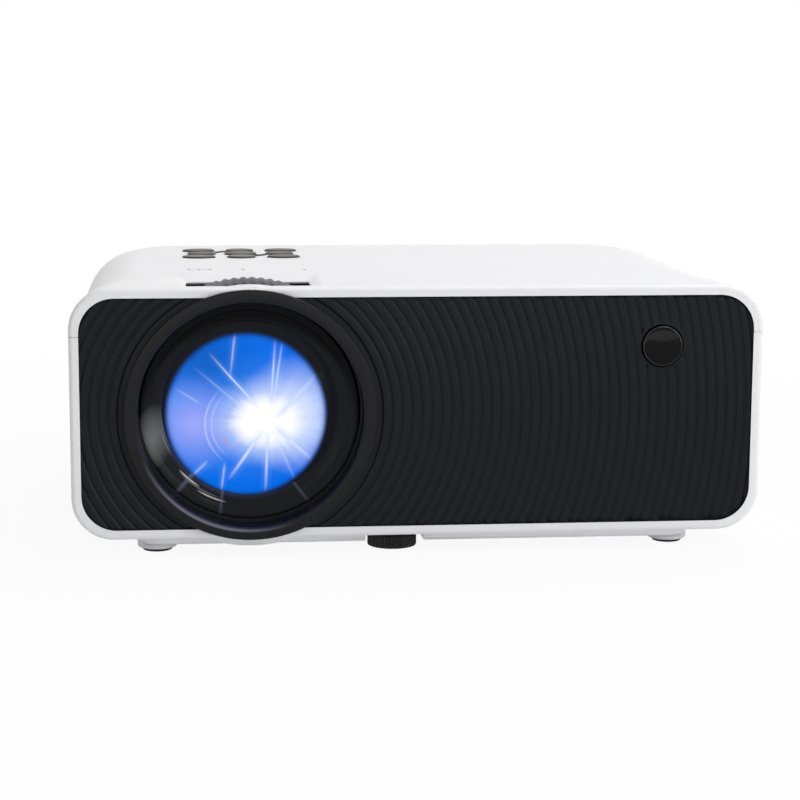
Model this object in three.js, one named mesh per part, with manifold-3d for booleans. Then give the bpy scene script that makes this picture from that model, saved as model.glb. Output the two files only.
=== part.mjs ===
// A small home projector with one LCD panel and an LED lamp, taken apart into its pieces.
// Sizes are millimetres. While it is built, x runs to the right seen from the front, y runs back
// from the front rim and z runs up from the table. At the end the whole is centred in y.
import * as THREE from 'three';
import { mergeVertices } from 'three/addons/utils/BufferGeometryUtils.js';
import { ConvexGeometry } from 'three/addons/geometries/ConvexGeometry.js';
import Module from 'manifold-3d';

const wasm = await Module();
wasm.setup();

// Fits that many pieces share
const gap = 0.3; // between pieces that touch or slide
const overrun = 1; // by which a cutter passes the face that it cuts
const wall = 1.8; // of the two covers

// Shell
const bodyWidth = 200;
const bodyDepth = 145; // front rim to rear face
const bodyHeight = 72.4;
const bodyRise = 5.8; // table to the shell's lower edge
const seamDrop = 13.8; // top face to the seam between the covers
const frontCorner = 12; // corner radius at the front rim
const bodyCorner = 18; // corner radius of the shell behind the rim
const cornerRun = 40; // depth over which the one becomes the other
const rimEase = 1.6; // chamfer round the front rim
const rimWidth = 2.5; // white rim seen round the front panel
const rimCorner = 10.4; // corner radius of the front panel
const rimDepth = 2; // thickness of the rim's lip
const rearCorner = 26; // radius of the rear corners seen from above
const rearEase = 6; // round between the top face and the rear face

// Lens axis
const lensSide = 15.1; // from the left side of the shell to the lens ring
const lensBelow = 0.4; // below mid height

// Belly, feet and lens bulge under the shell
const bellyInset = 19; // from each side of the shell
const bellyFront = 5;
const bellyBack = 7; // from the rear face
const bellyZ = 3;
const bellyFloor = 2;
const bellyCorner = 6;
const footInset = 5; // from the belly's sides
const footFront = 14;
const footBack = 10; // from the belly's rear edge
const footRadius = 5.8;
const footZ = 0.9;
const padRadius = 4.4;
const padHeight = 2.2;
const bulgeWall = 1;
const bayRoom = 0.6; // round the focus ring
const bayFront = 3.6;

// Vent slots in the side walls and the belly
const ventWidth = 2.6;
const ventPitch = 7;
const ventFront = 25;
const ventMargin = 2; // from the rounds of the shell
const floorVentLength = 34;
const floorVentInset = 9; // from the belly's side
const floorVents = 7;

// Front panel
const panelRecess = 0.5; // behind the rim
const panelFlange = 1.8;
const grooveRoom = 0.9; // round the lens ring
const groovePitch = 2.88;
const grooveDepth = 0.8;

// Focus ring, slot and recess on top
const focusProud = 0.6; // above the top face
const focusTooth = 0.9;
const focusTeeth = 86;
const focusWall = 5.1;
const focusWidth = 17.4;
const focusFront = 8.2;
const toothShares = [[0, 1], [0.5, 0]]; // along a tooth's pitch, and of its depth
const slotWidth = 36.2;
const slotFront = 5;
const slotRear = 28.3;
const recessWidth = 43;
const recessRear = 42.8;
const recessDepth = 1.2;
const recessPad = 0.4;

// Lens trim ring, round the barrel
const ringReach = 4.3; // beyond the barrel
const ringProud = 1.5;
const ringEdge = 0.5;
const lipRoom = 1.2;
const lipChamfer = 0.9;
const spigotRoom = 0.6;
const spigotWall = 1.2;
const spigotRear = 5.4;

// Lens barrel, glass and sleeve
const barrelFront = 9.5;
const barrelRear = 52;
const barrelLip = 0.8;
const barrelWall = 3.3; // round the front glass
const barrelSeat = 17; // shoulder that the front glass sits on
const barrelStep = 2; // width of that shoulder
const frontGlassEdge = 2.9;
const frontFaceRadius = 90;
const retainerReach = 3.9; // over the front glass
const retainerRoom = 2.2;
const retainerDepth = 2.8;
const retainerStep = 0.4;
const rearSeat = 43;
const rearSeatWeb = 1.2;
const rearSeatStep = 3;
const rearBarrelWall = 6.5;
const rearGlassEdge = 3;
const rearFaceRadius = 80;
const sleeveWall = 1.9;
const sleeveFlange = 2.7;

// Infrared window and its board
const irInset = 29.7; // from the right side
const irDrop = 17.7; // from the top face
const irRadius = 6;
const irGap = 0.45;
const irProud = 0.2;
const irDome = 0.4;
const irEdge = 0.6;
const irShoulderShare = 0.75; // of the dome's height, half way out
const irFlange = 1.2;
const irBoardWidth = 26;
const irBoardHeight = 12;
const irPostRadius = 2;
const irPostLength = 4;
const irPostSpread = 9.5;
const receiverSize = 6;

// Light engine, from the lens to the rear fan
const housingReach = 7.9; // beyond the lens ring on each side
const housingRoom = 7.2; // above and below
const housingFront = 57;
const housingWall = 2;
const windowWall = 1.5; // from the barrel's wall to the window in the housing
const engineShares = [0.39, 0.25, 0.36]; // lengths of the housing, the funnel and the heat sink
const fresnelThickness = 2;
const lcdThickness = 2.8;
const plateRoom = 1; // in front of the first plate and beside the ribbon's slit
const lightRoom = 5; // behind the last plate
const funnelTaperShare = 0.56; // of the funnel's length
const funnelWaist = 6; // from the housing's outside to the funnel's bore
const condenserEdge = 4;
const condenserFaceRadius = 60;
const ledBoardThickness = 2;
const ledEmitter = 18;
const ledEmitterHeight = 1;
const sinkBase = 4;
const sinkFins = 11;
const sinkFin = 1.6;

// Fans
const rearFanDepth = 15;
const rearFanRoom = 2.1; // to the rear panel
const sideFanRoom = 16.2; // above and below
const sideFanDepth = 10;
const fanRim = 1.5;
const fanCorner = 4;
const fanSpider = 2;
const fanStrut = 3;
const fanTip = 0.8;
const fanBlade = 1.2;
const fanBlades = 7;
const hubShare = 0.2; // radius of the hub, of the fan's size

// Keypad
const keypadBack = 12.1; // behind the middle between the recess and the rear face
const keyCornerX = 13.8; // from the middle column to the corner keys
const keyArrowX = 12.9; // from the middle column to the left and right keys
const keyPitchY = 11.4;
const keyRise = 0.6;
const keyEdge = 0.25;
const keyRoom = 0.35;
const keyFlange = 1;
const keySkirt = 0.9;
const keyTravel = 0.5;
const keyBoardMargin = 8;
const boardThickness = 1.2;
const switchSize = 6;
const switchHeight = 1.6;
const keyPost = 2;
const keyWide = 5.3; // half sizes of the ovals
const keyNarrow = 4.6;
const keyTall = 4.8;
const keyLow = 4.2;

// Main board, power board and what they carry
const boardRoom = 4; // from the fan and the funnel to the main board
const mainBoardWidth = 58;
const mainBoardZ = 22;
const powerBoardRoom = 12.8; // from the housing
const powerBoardSide = 18.2; // from the right wall
const powerBoardFront = 13;
const powerBoardBack = 8; // ahead of the tripod insert
const powerBoardZ = 12;
const boardInset = 6; // of the posts from a board's edges
const postRadius = 2.5;
const transformerHeight = 17;
const capacitorRadius = 8;
const capacitorHeight = 22;
const coilRadius = 7;
const coilHeight = 10;
const chipHeight = 1.5;
const coolerHeight = 7;
const ribbonThickness = 0.5;
const ribbonWidth = 20;
const ribbonRoom = 5; // beside the housing
const ribbonPlug = 5;
const ribbonPlugLength = 8;

// Rear panel and sockets
const rearSide = 30; // from the sides of the shell to the opening
const rearLow = 8.4;
const rearHigh = 9.2;
const rearOpeningCorner = 9;
const rearFlange = 1.6;
const rearMargin = 2;
const grilleSlot = 2.6;
const grillePitch = 4.9;
const grilleRoom = 6; // above and below, from the fan's frame
const grilleEdge = 3.2; // from the side of the opening to the middle of the first slot
const socketRecess = 0.3;
const phonesStep = 4.5; // from the main board's left edge
const jackStep = 8.5; // from one socket to the next
const dataStep = 11.5;
const videoStep = 16.5;
const cardShift = 1.5;
const videoWidth = 15;
const videoHeight = 6.2;
const videoDepth = 12;
const dataWidth = 14.5;
const dataHeight = 7;
const dataDepth = 16;
const socketSkin = 0.8;
const tongueThickness = 1.4;
const tongueSide = 1.6;
const jackWidth = 7;
const jackDepth = 12;
const jackNose = 3;
const jackBore = 1.8;
const cardWidth = 26;
const cardHeight = 3.4;
const cardDepth = 24;
const cardSlot = 1.8;
const inletStep = 15; // from the right edge of the opening
const inletBelow = 2; // below mid height
const inletWidth = 22;
const inletHeight = 13;
const inletDepth = 19;
const inletCavityWidth = 16.6;
const inletCavityHeight = 8.6;
const inletCavityDepth = 14;
const inletFlange = 1.6;
const inletMargin = 3;
const pinSpacing = 8.6;
const pinRadius = 1.2;
const pinLength = 11;
const rearIrStep = 21; // from the mains inlet
const rearIrDrop = 15; // from the top of the opening
const rearIrRadius = 4;

// Loudspeaker
const speakerY = 36;
const speakerLength = 32;
const speakerHeight = 30;
const speakerPlate = 2;
const speakerBasket = 8;
const speakerEdge = 3;
const magnetStep = 1;
const magnetDepth = 6;

// Adjustable foot
const levelSide = 41.75; // from the lens axis
const levelY = 13;
const levelRadius = 7.25;
const levelZ = 0.3;
const levelHeight = 3.8;
const levelGrooves = 24;
const levelGroove = 0.4;
const levelStem = 3;
const levelTop = 26;
const notchWidth = 17;
const notchRear = 21.5;
const nutRadius = 5.2;
const nutHeight = 7;
const nutBoss = 7.2;

// Tripod insert, case screws and their bosses
const tripodBehind = 5.5; // behind the middle
const tripodBore = 3.2;
const tripodRadius = 5;
const tripodHeight = 8;
const tripodBoss = 7;
const screwInset = 12; // from the sides
const screwFront = 16;
const screwBehindBay = 7; // the left front screw stands behind the lens bay
const screwBack = 23; // from the rear face
const screwBoss = 3.7;
const screwHead = 2.4;
const screwHeadHeight = 2;
const screwShank = 1.3;
const screwLength = 34;
const screwSink = 4;
const bossJoint = 30; // height at which the bosses of the two covers meet

// Sides of the round pieces
const lensSides = 40;
const roundSides = 20;
const smallSides = 10;
const postSides = 8;
const boreSides = 28; // of the fans
const grooveSides = 48;
const domeSteps = 3;
const cornerSteps = 2;
const cavitySteps = 3;
const speakerSteps = 4;
const keySides = 16;
const shellSteps = 4;
const bendSteps = 6;

// Heights and sides worked out from the sizes
const topZ = bodyRise + bodyHeight;
const midZ = bodyRise + bodyHeight / 2;
const ceilingZ = topZ - wall;
const floorZ = bodyRise + wall;
const seamZ = topZ - seamDrop;
const hollowZ = bellyZ + bellyFloor;
const innerSide = bodyWidth / 2 - wall;
const bendStart = bodyDepth - rearCorner;
const bellyWidth = bodyWidth - 2 * bellyInset;
const bellyRear = bodyDepth - bellyBack;
const footX = bellyWidth / 2 - footInset;
const footRear = bellyRear - footBack;
const headTop = bodyRise + screwSink;
const headLow = headTop - screwHeadHeight;
const screwTop = headTop + screwLength;

// Lens
const lensZ = midZ - lensBelow;
const focusRadius = topZ + focusProud - lensZ;
const barrelRadius = focusRadius - focusWall - gap;
const ringRadius = barrelRadius + ringReach;
const lensX = lensSide + ringRadius - bodyWidth / 2;
const lens = [lensX, lensZ];
const lipRadius = barrelRadius + lipRoom;
const spigotBore = barrelRadius + spigotRoom;
const spigotRadius = spigotBore + spigotWall;
const grooveStart = ringRadius + grooveRoom;
const frontGlassRadius = barrelRadius - barrelWall;
const barrelBore = frontGlassRadius - barrelStep;
const retainerBore = frontGlassRadius - retainerReach;
const retainerFlare = barrelRadius - retainerRoom;
const rearGlassRadius = barrelRadius - rearBarrelWall - gap;
const rearSeatBore = rearGlassRadius - rearSeatStep;
const bayRadius = focusRadius + bayRoom;
const bayRear = slotRear + bayRoom;
const sleeveRadius = barrelRadius + gap + sleeveWall;
const irX = bodyWidth / 2 - irInset;
const irZ = topZ - irDrop;

// Light engine
const housingWidth = 2 * (ringRadius + housingReach);
const housingHeight = bodyHeight - 2 * housingRoom;
const rearFlangeFront = bodyDepth - wall - gap - rearFlange;
const rearFanSize = housingHeight;
const rearFanFront = rearFlangeFront - rearFanRoom - rearFanDepth;
const engineLength = rearFanFront - housingFront - ledBoardThickness - 4 * gap;
const [housingDepth, funnelDepth, sinkDepth] = engineShares.map((share) => engineLength * share);
const housingRear = housingFront + housingDepth;
const frontFresnelY = housingFront + housingWall + plateRoom;
const rearFresnelY = housingRear - lightRoom - fresnelThickness;
const lcdY = (frontFresnelY + fresnelThickness + rearFresnelY - lcdThickness) / 2;
const funnelFront = housingRear + gap;
const funnelTaperRear = funnelFront + funnelDepth * funnelTaperShare;
const funnelRear = funnelFront + funnelDepth;
const funnelInner = housingHeight - 2 * funnelWaist;
const ledFront = funnelRear + gap;
const ledBoard = funnelInner + 2 * housingWall;
const condenserRadius = funnelInner / 2 - gap;
const sinkFront = ledFront + ledBoardThickness + gap;
const sinkRear = sinkFront + sinkDepth;
const sinkHeight = ledBoard + housingWall;
const sinkWidth = sinkHeight + housingWall;
const housingX = [lensX - housingWidth / 2, lensX + housingWidth / 2];
const housingZ = [lensZ - housingHeight / 2, lensZ + housingHeight / 2];
const sideFanSize = bodyHeight - 2 * sideFanRoom;
const sideFanY = bendStart - ventMargin - sideFanSize / 2;
const sideFanFrom = innerSide - 2 * gap - sideFanDepth;

// Boards, rear panel and feet
const tripodY = bodyDepth / 2 + tripodBehind;
const tripod = [0, tripodY];
const mainBoardLeft = lensX + rearFanSize / 2 + boardRoom;
const mainBoardX = [mainBoardLeft, mainBoardLeft + mainBoardWidth];
const mainBoardY = [funnelTaperRear + boardRoom / 2, rearFlangeFront - gap];
const powerBoardX = [housingX[1] + powerBoardRoom, innerSide - powerBoardSide];
const powerBoardY = [powerBoardFront, tripodY - powerBoardBack];
const ribbonX = housingX[1] + ribbonRoom;
const ribbonEnd = mainBoardY[0] + ribbonPlugLength;
const ribbonZ = [lensZ - ribbonWidth / 2, lensZ + ribbonWidth / 2];
const rearOpeningX = bodyWidth / 2 - rearSide;
const rearOpeningZ = [bodyRise + rearLow, topZ - rearHigh];
const phonesX = mainBoardLeft + phonesStep;
const avX = phonesX + jackStep;
const dataX = avX + dataStep;
const videoX = dataX + videoStep;
const cardX = dataX + cardShift;
const inletX = rearOpeningX - inletStep;
const inletZ = midZ - inletBelow;
const rearIrX = inletX - rearIrStep;
const rearIrZ = rearOpeningZ[1] - rearIrDrop;
const grilleHeight = rearFanSize - 2 * grilleRoom;
const grilleSlots = Math.floor(2 * (lensX + rearOpeningX - grilleEdge) / grillePitch) + 1;
const speakerNeck = speakerHeight / 2 - speakerEdge;
const magnetRadius = speakerNeck - magnetStep;
const level = [lensX + levelSide, levelY];
const feetPlaces = [-footX, footX].flatMap((x) => [[x, footFront], [x, footRear]]);
const screwX = bodyWidth / 2 - screwInset;
const screwPlaces = [
  [-screwX, bayRear + screwBehindBay],
  [screwX, screwFront],
  [-screwX, bodyDepth - screwBack],
  [screwX, bodyDepth - screwBack],
];

const paint = (color, roughness, metalness) => (
  new THREE.MeshStandardMaterial({ color, roughness, metalness })
);
const whitePlastic = paint(0xf0f0f2, 0.42, 0);
const blackPlastic = paint(0x1c1e20, 0.45, 0);
const gloss = paint(0x08090a, 0.08, 0);
const keyPlastic = paint(0x8c8a82, 0.5, 0);
const greyPlastic = paint(0x3a3c3e, 0.5, 0);
const rubber = paint(0x202020, 0.85, 0);
const glass = paint(0x9fc4e8, 0.03, 0);
const aluminium = paint(0xb9bcc0, 0.35, 0.9);
const brass = paint(0xb5914c, 0.35, 0.9);
const steel = paint(0x9a9c9e, 0.3, 0.9);
const circuit = paint(0x1d5a34, 0.6, 0);
const flex = paint(0xb06a20, 0.5, 0);

// Turns a three.js geometry into a solid, with its faces pointing out
function solid(geometry) {
  const bare = geometry.clone();
  bare.deleteAttribute('normal');
  bare.deleteAttribute('uv');
  const merged = mergeVertices(bare);
  const position = merged.getAttribute('position');
  const index = merged.getIndex();
  const point = (i) => new THREE.Vector3().fromBufferAttribute(position, i);
  const faces = [];
  let volume = 0;
  for (let i = 0; i < index.count; i += 3) {
    const [a, b, c] = [index.getX(i), index.getX(i + 1), index.getX(i + 2)];
    if (a !== b && b !== c && c !== a) {
      faces.push([a, b, c]);
      volume += point(a).dot(point(b).cross(point(c)));
    }
  }
  const triangles = faces.flatMap(([a, b, c]) => (volume < 0 ? [a, c, b] : [a, b, c]));
  return new wasm.Manifold(new wasm.Mesh({
    numProp: 3,
    vertProperties: new Float32Array(position.array),
    triVerts: new Uint32Array(triangles),
  }));
}

const join = (...parts) => parts.reduce((whole, part) => whole.add(part));
const cut = (base, ...tools) => tools.reduce((left, tool) => left.subtract(tool), base);

const span = (count) => Array.from({ length: count }, (_, i) => i);

// Points of a circle, an oval and a rounded rectangle, as pairs
function circle([a, b], radius, sides) {
  return oval([a, b], radius, radius, sides);
}

function oval([a, b], halfA, halfB, sides) {
  return span(sides).map((i) => {
    const turn = (i / sides) * 2 * Math.PI;
    return [a + halfA * Math.cos(turn), b + halfB * Math.sin(turn)];
  });
}

function rounded(left, right, low, high, radius, steps) {
  const corners = [
    [right - radius, high - radius],
    [left + radius, high - radius],
    [left + radius, low + radius],
    [right - radius, low + radius],
  ];
  return corners.flatMap(([a, b], quarter) => span(steps + 1).map((i) => {
    const turn = (quarter + i / steps) * Math.PI / 2;
    return [a + radius * Math.cos(turn), b + radius * Math.sin(turn)];
  }));
}

const rectangle = (left, right, low, high) => [[left, low], [right, low], [right, high], [left, high]];

// A prism of an outline. On x the outline's pairs are y and z, on y they are x and z, on z x and y
function prism(axis, outline, from, to) {
  const shape = new THREE.Shape(outline.map(([a, b]) => new THREE.Vector2(a, b)));
  const geometry = new THREE.ExtrudeGeometry(shape, { depth: to - from, bevelEnabled: false });
  const [x, y, z] = [new THREE.Vector3(1, 0, 0), new THREE.Vector3(0, 1, 0), new THREE.Vector3(0, 0, 1)];
  if (axis === 'x') {
    geometry.applyMatrix4(new THREE.Matrix4().makeBasis(y, z, x)).translate(from, 0, 0);
  } else if (axis === 'y') {
    geometry.applyMatrix4(new THREE.Matrix4().makeBasis(x, z, y.negate())).translate(0, to, 0);
  } else {
    geometry.translate(0, 0, from);
  }
  return solid(geometry);
}

const rod = (axis, centre, radius, from, to, sides) => prism(axis, circle(centre, radius, sides), from, to);

function block([left, right], [front, rear], [low, high]) {
  const geometry = new THREE.BoxGeometry(right - left, rear - front, high - low);
  geometry.translate((left + right) / 2, (front + rear) / 2, (low + high) / 2);
  return solid(geometry);
}

// A turned solid. Its profile is a list of radius and place along the axis
function turned(axis, [a, b], profile, sides) {
  const points = profile.map(([radius, along]) => new THREE.Vector2(radius, along));
  if (profile[0][0] > 0) points.push(points[0].clone());
  const geometry = new THREE.LatheGeometry(points, sides);
  if (axis === 'x') geometry.rotateZ(-Math.PI / 2).translate(0, a, b);
  if (axis === 'y') geometry.translate(a, 0, b);
  if (axis === 'z') geometry.rotateX(Math.PI / 2).translate(a, b, 0);
  return solid(geometry);
}

// A solid through a row of rings with as many points each
function stack(rings) {
  const size = rings[0].length;
  const points = rings.flat();
  const triangles = [];
  for (let level = 0; level + 1 < rings.length; level += 1) {
    for (let i = 0; i < size; i += 1) {
      const [a, b] = [level * size + i, level * size + (i + 1) % size];
      triangles.push(a, b, b + size, a, b + size, a + size);
    }
  }
  const last = (rings.length - 1) * size;
  for (let i = 1; i + 1 < size; i += 1) {
    triangles.push(0, i + 1, i, last, last + i, last + i + 1);
  }
  const geometry = new THREE.BufferGeometry();
  geometry.setAttribute('position', new THREE.Float32BufferAttribute(points.flat(), 3));
  geometry.setIndex(triangles);
  return solid(geometry);
}

const hull = (points) => solid(new ConvexGeometry(points.map((point) => new THREE.Vector3(...point))));

// How far a lens face of a given curve stands out at its middle
const bulgeOf = (curve, radius) => curve - Math.sqrt(curve ** 2 - radius ** 2);

// Points of a domed lens face from its rim to its middle
function dome(curve, radius, rimY, side, steps) {
  return span(steps + 1).map((i) => {
    const r = radius * (1 - i / steps);
    return [r, rimY + side * (bulgeOf(curve, radius) - bulgeOf(curve, r))];
  });
}

const model = new THREE.Group();

function add(name, part, material) {
  const { vertProperties, triVerts } = part.getMesh();
  const geometry = new THREE.BufferGeometry();
  geometry.setAttribute('position', new THREE.BufferAttribute(vertProperties, 3));
  geometry.setIndex(new THREE.BufferAttribute(triVerts, 1));
  geometry.computeVertexNormals();
  const mesh = new THREE.Mesh(geometry, material);
  mesh.name = name;
  model.add(mesh);
}

// Half of the shell's width or height at a depth, drawn in by an inset and by the round at the rear
function easedHalf(half, round, y, inset) {
  const radius = Math.max(round - inset, 0);
  const past = Math.min(Math.max(y - (bodyDepth - round), 0), radius);
  return half - inset - radius + Math.sqrt(radius ** 2 - past ** 2);
}

function shellRing(y, inset) {
  const ease = Math.max(rimEase - y, 0);
  const halfWidth = easedHalf(bodyWidth / 2, rearCorner, y, inset) - ease;
  const halfHeight = easedHalf(bodyHeight / 2, rearEase, y, inset) - ease;
  const turn = THREE.MathUtils.smoothstep(y, 0, cornerRun);
  const corner = THREE.MathUtils.lerp(frontCorner, bodyCorner, turn) - inset - ease;
  const outline = rounded(-halfWidth, halfWidth, midZ - halfHeight, midZ + halfHeight, corner, shellSteps);
  return outline.map(([x, z]) => [x, y, z]);
}

// The shell's outer form, or the form of its hollow with an inset
function shellForm(from, inset) {
  const front = [rimEase, cornerRun / 3, 2 * cornerRun / 3, cornerRun, bendStart].filter((y) => y > from);
  const bend = span(bendSteps).map((i) => {
    const turn = ((i + 1) / bendSteps) * Math.PI / 2;
    return bendStart + (rearCorner - inset) * Math.sin(turn);
  });
  return stack([from, ...front, ...bend].map((y) => shellRing(y, inset)));
}

// Outline of the opening in the front rim, drawn in by an inset
function rimOpening(inset) {
  const edge = rimWidth + inset;
  const side = bodyWidth / 2 - edge;
  return rounded(-side, side, bodyRise + edge, topZ - edge, rimCorner - inset, shellSteps);
}

// Outline of the opening in the rear faces of the covers, grown by a margin
function rearOpening(margin) {
  const side = rearOpeningX + margin;
  const [low, high] = [rearOpeningZ[0] - margin, rearOpeningZ[1] + margin];
  return rounded(-side, side, low, high, rearOpeningCorner + margin, shellSteps);
}

const bareShell = cut(
  shellForm(0, 0),
  shellForm(rimDepth, wall),
  prism('y', rimOpening(0), -overrun, rimDepth + overrun),
  prism('y', rearOpening(0), bodyDepth - wall - overrun, bodyDepth + overrun),
  rod('y', lens, spigotRadius + gap, -overrun, bayFront + overrun, lensSides),
);

const whole = bodyWidth + bodyDepth + bodyHeight;
const upperHalf = block([-whole, whole], [-whole, whole], [seamZ + gap / 2, whole]);
const lowerHalf = block([-whole, whole], [-whole, whole], [-whole, seamZ - gap / 2]);

// Keypad: each key with its name, place from the middle key and half sizes
const keys = [
  ['key_power', -keyCornerX, keyPitchY, keyWide, keyLow],
  ['key_up', 0, keyPitchY, keyNarrow, keyLow],
  ['key_source', keyCornerX, keyPitchY, keyWide, keyLow],
  ['key_left', -keyArrowX, 0, keyNarrow, keyLow],
  ['key_ok', 0, 0, keyWide, keyTall],
  ['key_right', keyArrowX, 0, keyNarrow, keyLow],
  ['key_back', -keyCornerX, -keyPitchY, keyWide, keyLow],
  ['key_down', 0, -keyPitchY, keyNarrow, keyLow],
  ['key_menu', keyCornerX, -keyPitchY, keyWide, keyLow],
];
const flangeTop = ceilingZ - gap;
const flangeLow = flangeTop - keyFlange;
const switchTop = flangeLow - keyTravel - gap;
const keyBoardTop = switchTop - switchHeight;
const keypadY = (recessRear + bodyDepth) / 2 + keypadBack;
const keyBoardX = [lensX - keyCornerX - keyBoardMargin, lensX + keyCornerX + keyBoardMargin];
const keyBoardY = [keypadY - keyPitchY - keyBoardMargin, keypadY + keyPitchY + keyBoardMargin];
const keyPlace = (across, back) => [lensX + across, keypadY + back];
const cornersOf = ([left, right], [front, rear], inset) => rectangle(
  left + inset, right - inset, front + inset, rear - inset,
);

function topCover() {
  const scoopTop = rectangle(
    lensX - recessWidth / 2, lensX + recessWidth / 2, slotFront, recessRear,
  ).map(([x, y]) => [x, y, topZ]);
  const scoopLow = rectangle(
    lensX - slotWidth / 2, lensX + slotWidth / 2, slotFront, slotRear,
  ).map(([x, y]) => [x, y, topZ - recessDepth]);
  const pad = block(
    [lensX - recessWidth / 2, lensX + recessWidth / 2],
    [slotFront, recessRear],
    [ceilingZ - recessPad, topZ - wall / 2],
  );
  const slot = block(
    [lensX - slotWidth / 2, lensX + slotWidth / 2],
    [slotFront, slotRear],
    [ceilingZ - recessPad - overrun, topZ + overrun],
  );
  const bosses = screwPlaces.map((place) => cut(
    rod('z', place, screwBoss, bossJoint + gap, topZ - wall / 2, postSides),
    rod('z', place, screwShank + gap, bossJoint - overrun, screwTop + overrun, smallSides),
  ));
  const posts = cornersOf(keyBoardX, keyBoardY, keyPost).map((place) => (
    rod('z', place, keyPost, keyBoardTop + gap, topZ - wall / 2, postSides)
  ));
  const holes = keys.map(([, across, back, halfX, halfY]) => prism(
    'z',
    oval(keyPlace(across, back), halfX + keyRoom, halfY + keyRoom, keySides),
    ceilingZ - overrun,
    topZ + overrun,
  ));
  const walls = bareShell.intersect(upperHalf);
  const supports = join(...bosses, ...posts).intersect(shellForm(0, wall / 2));
  return cut(join(walls, pad, supports), slot, hull([...scoopTop, ...scoopLow]), ...holes);
}

// Case screws, driven up from below
function caseScrew(place) {
  return turned('z', place, [
    [0, headLow],
    [screwHead, headLow],
    [screwHead, headTop],
    [screwShank, headTop],
    [screwShank, screwTop - screwShank],
    [0, screwTop],
  ], smallSides);
}

function boardPosts(spanX, spanY, boardZ) {
  return cornersOf(spanX, spanY, boardInset).map((place) => (
    rod('z', place, postRadius, bellyZ + bellyFloor / 2, boardZ - gap, postSides)
  ));
}

// One fan stands behind the heat sink and one at the right wall
function fanPosts() {
  const underRear = lensZ - rearFanSize / 2 - gap;
  const rearY = rearFanFront + rearFanDepth / 2;
  const rearX = rearFanSize / 2 - boardInset;
  const sideLow = midZ - sideFanSize / 2 - gap;
  const sideX = sideFanFrom + sideFanDepth / 2;
  const sideY = sideFanSize / 2 - boardInset;
  return [
    rod('z', [lensX - rearX, rearY], postRadius, bellyZ + bellyFloor / 2, underRear, postSides),
    rod('z', [lensX + rearX, rearY], postRadius, bellyZ + bellyFloor / 2, underRear, postSides),
    rod('z', [sideX, sideFanY - sideY], postRadius, bodyRise + wall / 2, sideLow, postSides),
    rod('z', [sideX, sideFanY + sideY], postRadius, bodyRise + wall / 2, sideLow, postSides),
  ];
}

// Hollow of the belly, with a bay left solid round the notch of the adjustable foot
function bellyHollow() {
  const side = bellyWidth / 2 - bellyFloor;
  const [front, rear] = [bellyFront + bellyFloor, bellyRear - bellyFloor];
  const left = level[0] - notchWidth / 2 - bellyFloor;
  const right = level[0] + notchWidth / 2 + bellyFloor;
  const back = notchRear + bellyFloor;
  return prism('z', [
    [-side, front],
    [left, front],
    [left, back],
    [right, back],
    [right, front],
    [side, front],
    [side, rear],
    [-side, rear],
  ], hollowZ, floorZ + overrun);
}

function ventCutters() {
  const count = Math.floor((bendStart - ventMargin - ventFront) / ventPitch) + 1;
  const ventZ = [bodyRise + bodyCorner + ventMargin, topZ - bodyCorner - ventMargin];
  const sides = span(count).flatMap((i) => {
    const y = ventFront + i * ventPitch;
    return [-1, 1].map((side) => {
      const reach = [side * (innerSide - overrun), side * (bodyWidth / 2 + overrun)].sort((a, b) => a - b);
      return block(reach, [y - ventWidth / 2, y + ventWidth / 2], ventZ);
    });
  });
  const floor = span(floorVents).map((i) => {
    const x = floorVentInset - bellyWidth / 2 + i * ventPitch;
    return block(
      [x - ventWidth / 2, x + ventWidth / 2],
      [tripodY - floorVentLength / 2, tripodY + floorVentLength / 2],
      [bellyZ - overrun, hollowZ + overrun],
    );
  });
  return [...sides, ...floor];
}

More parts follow.
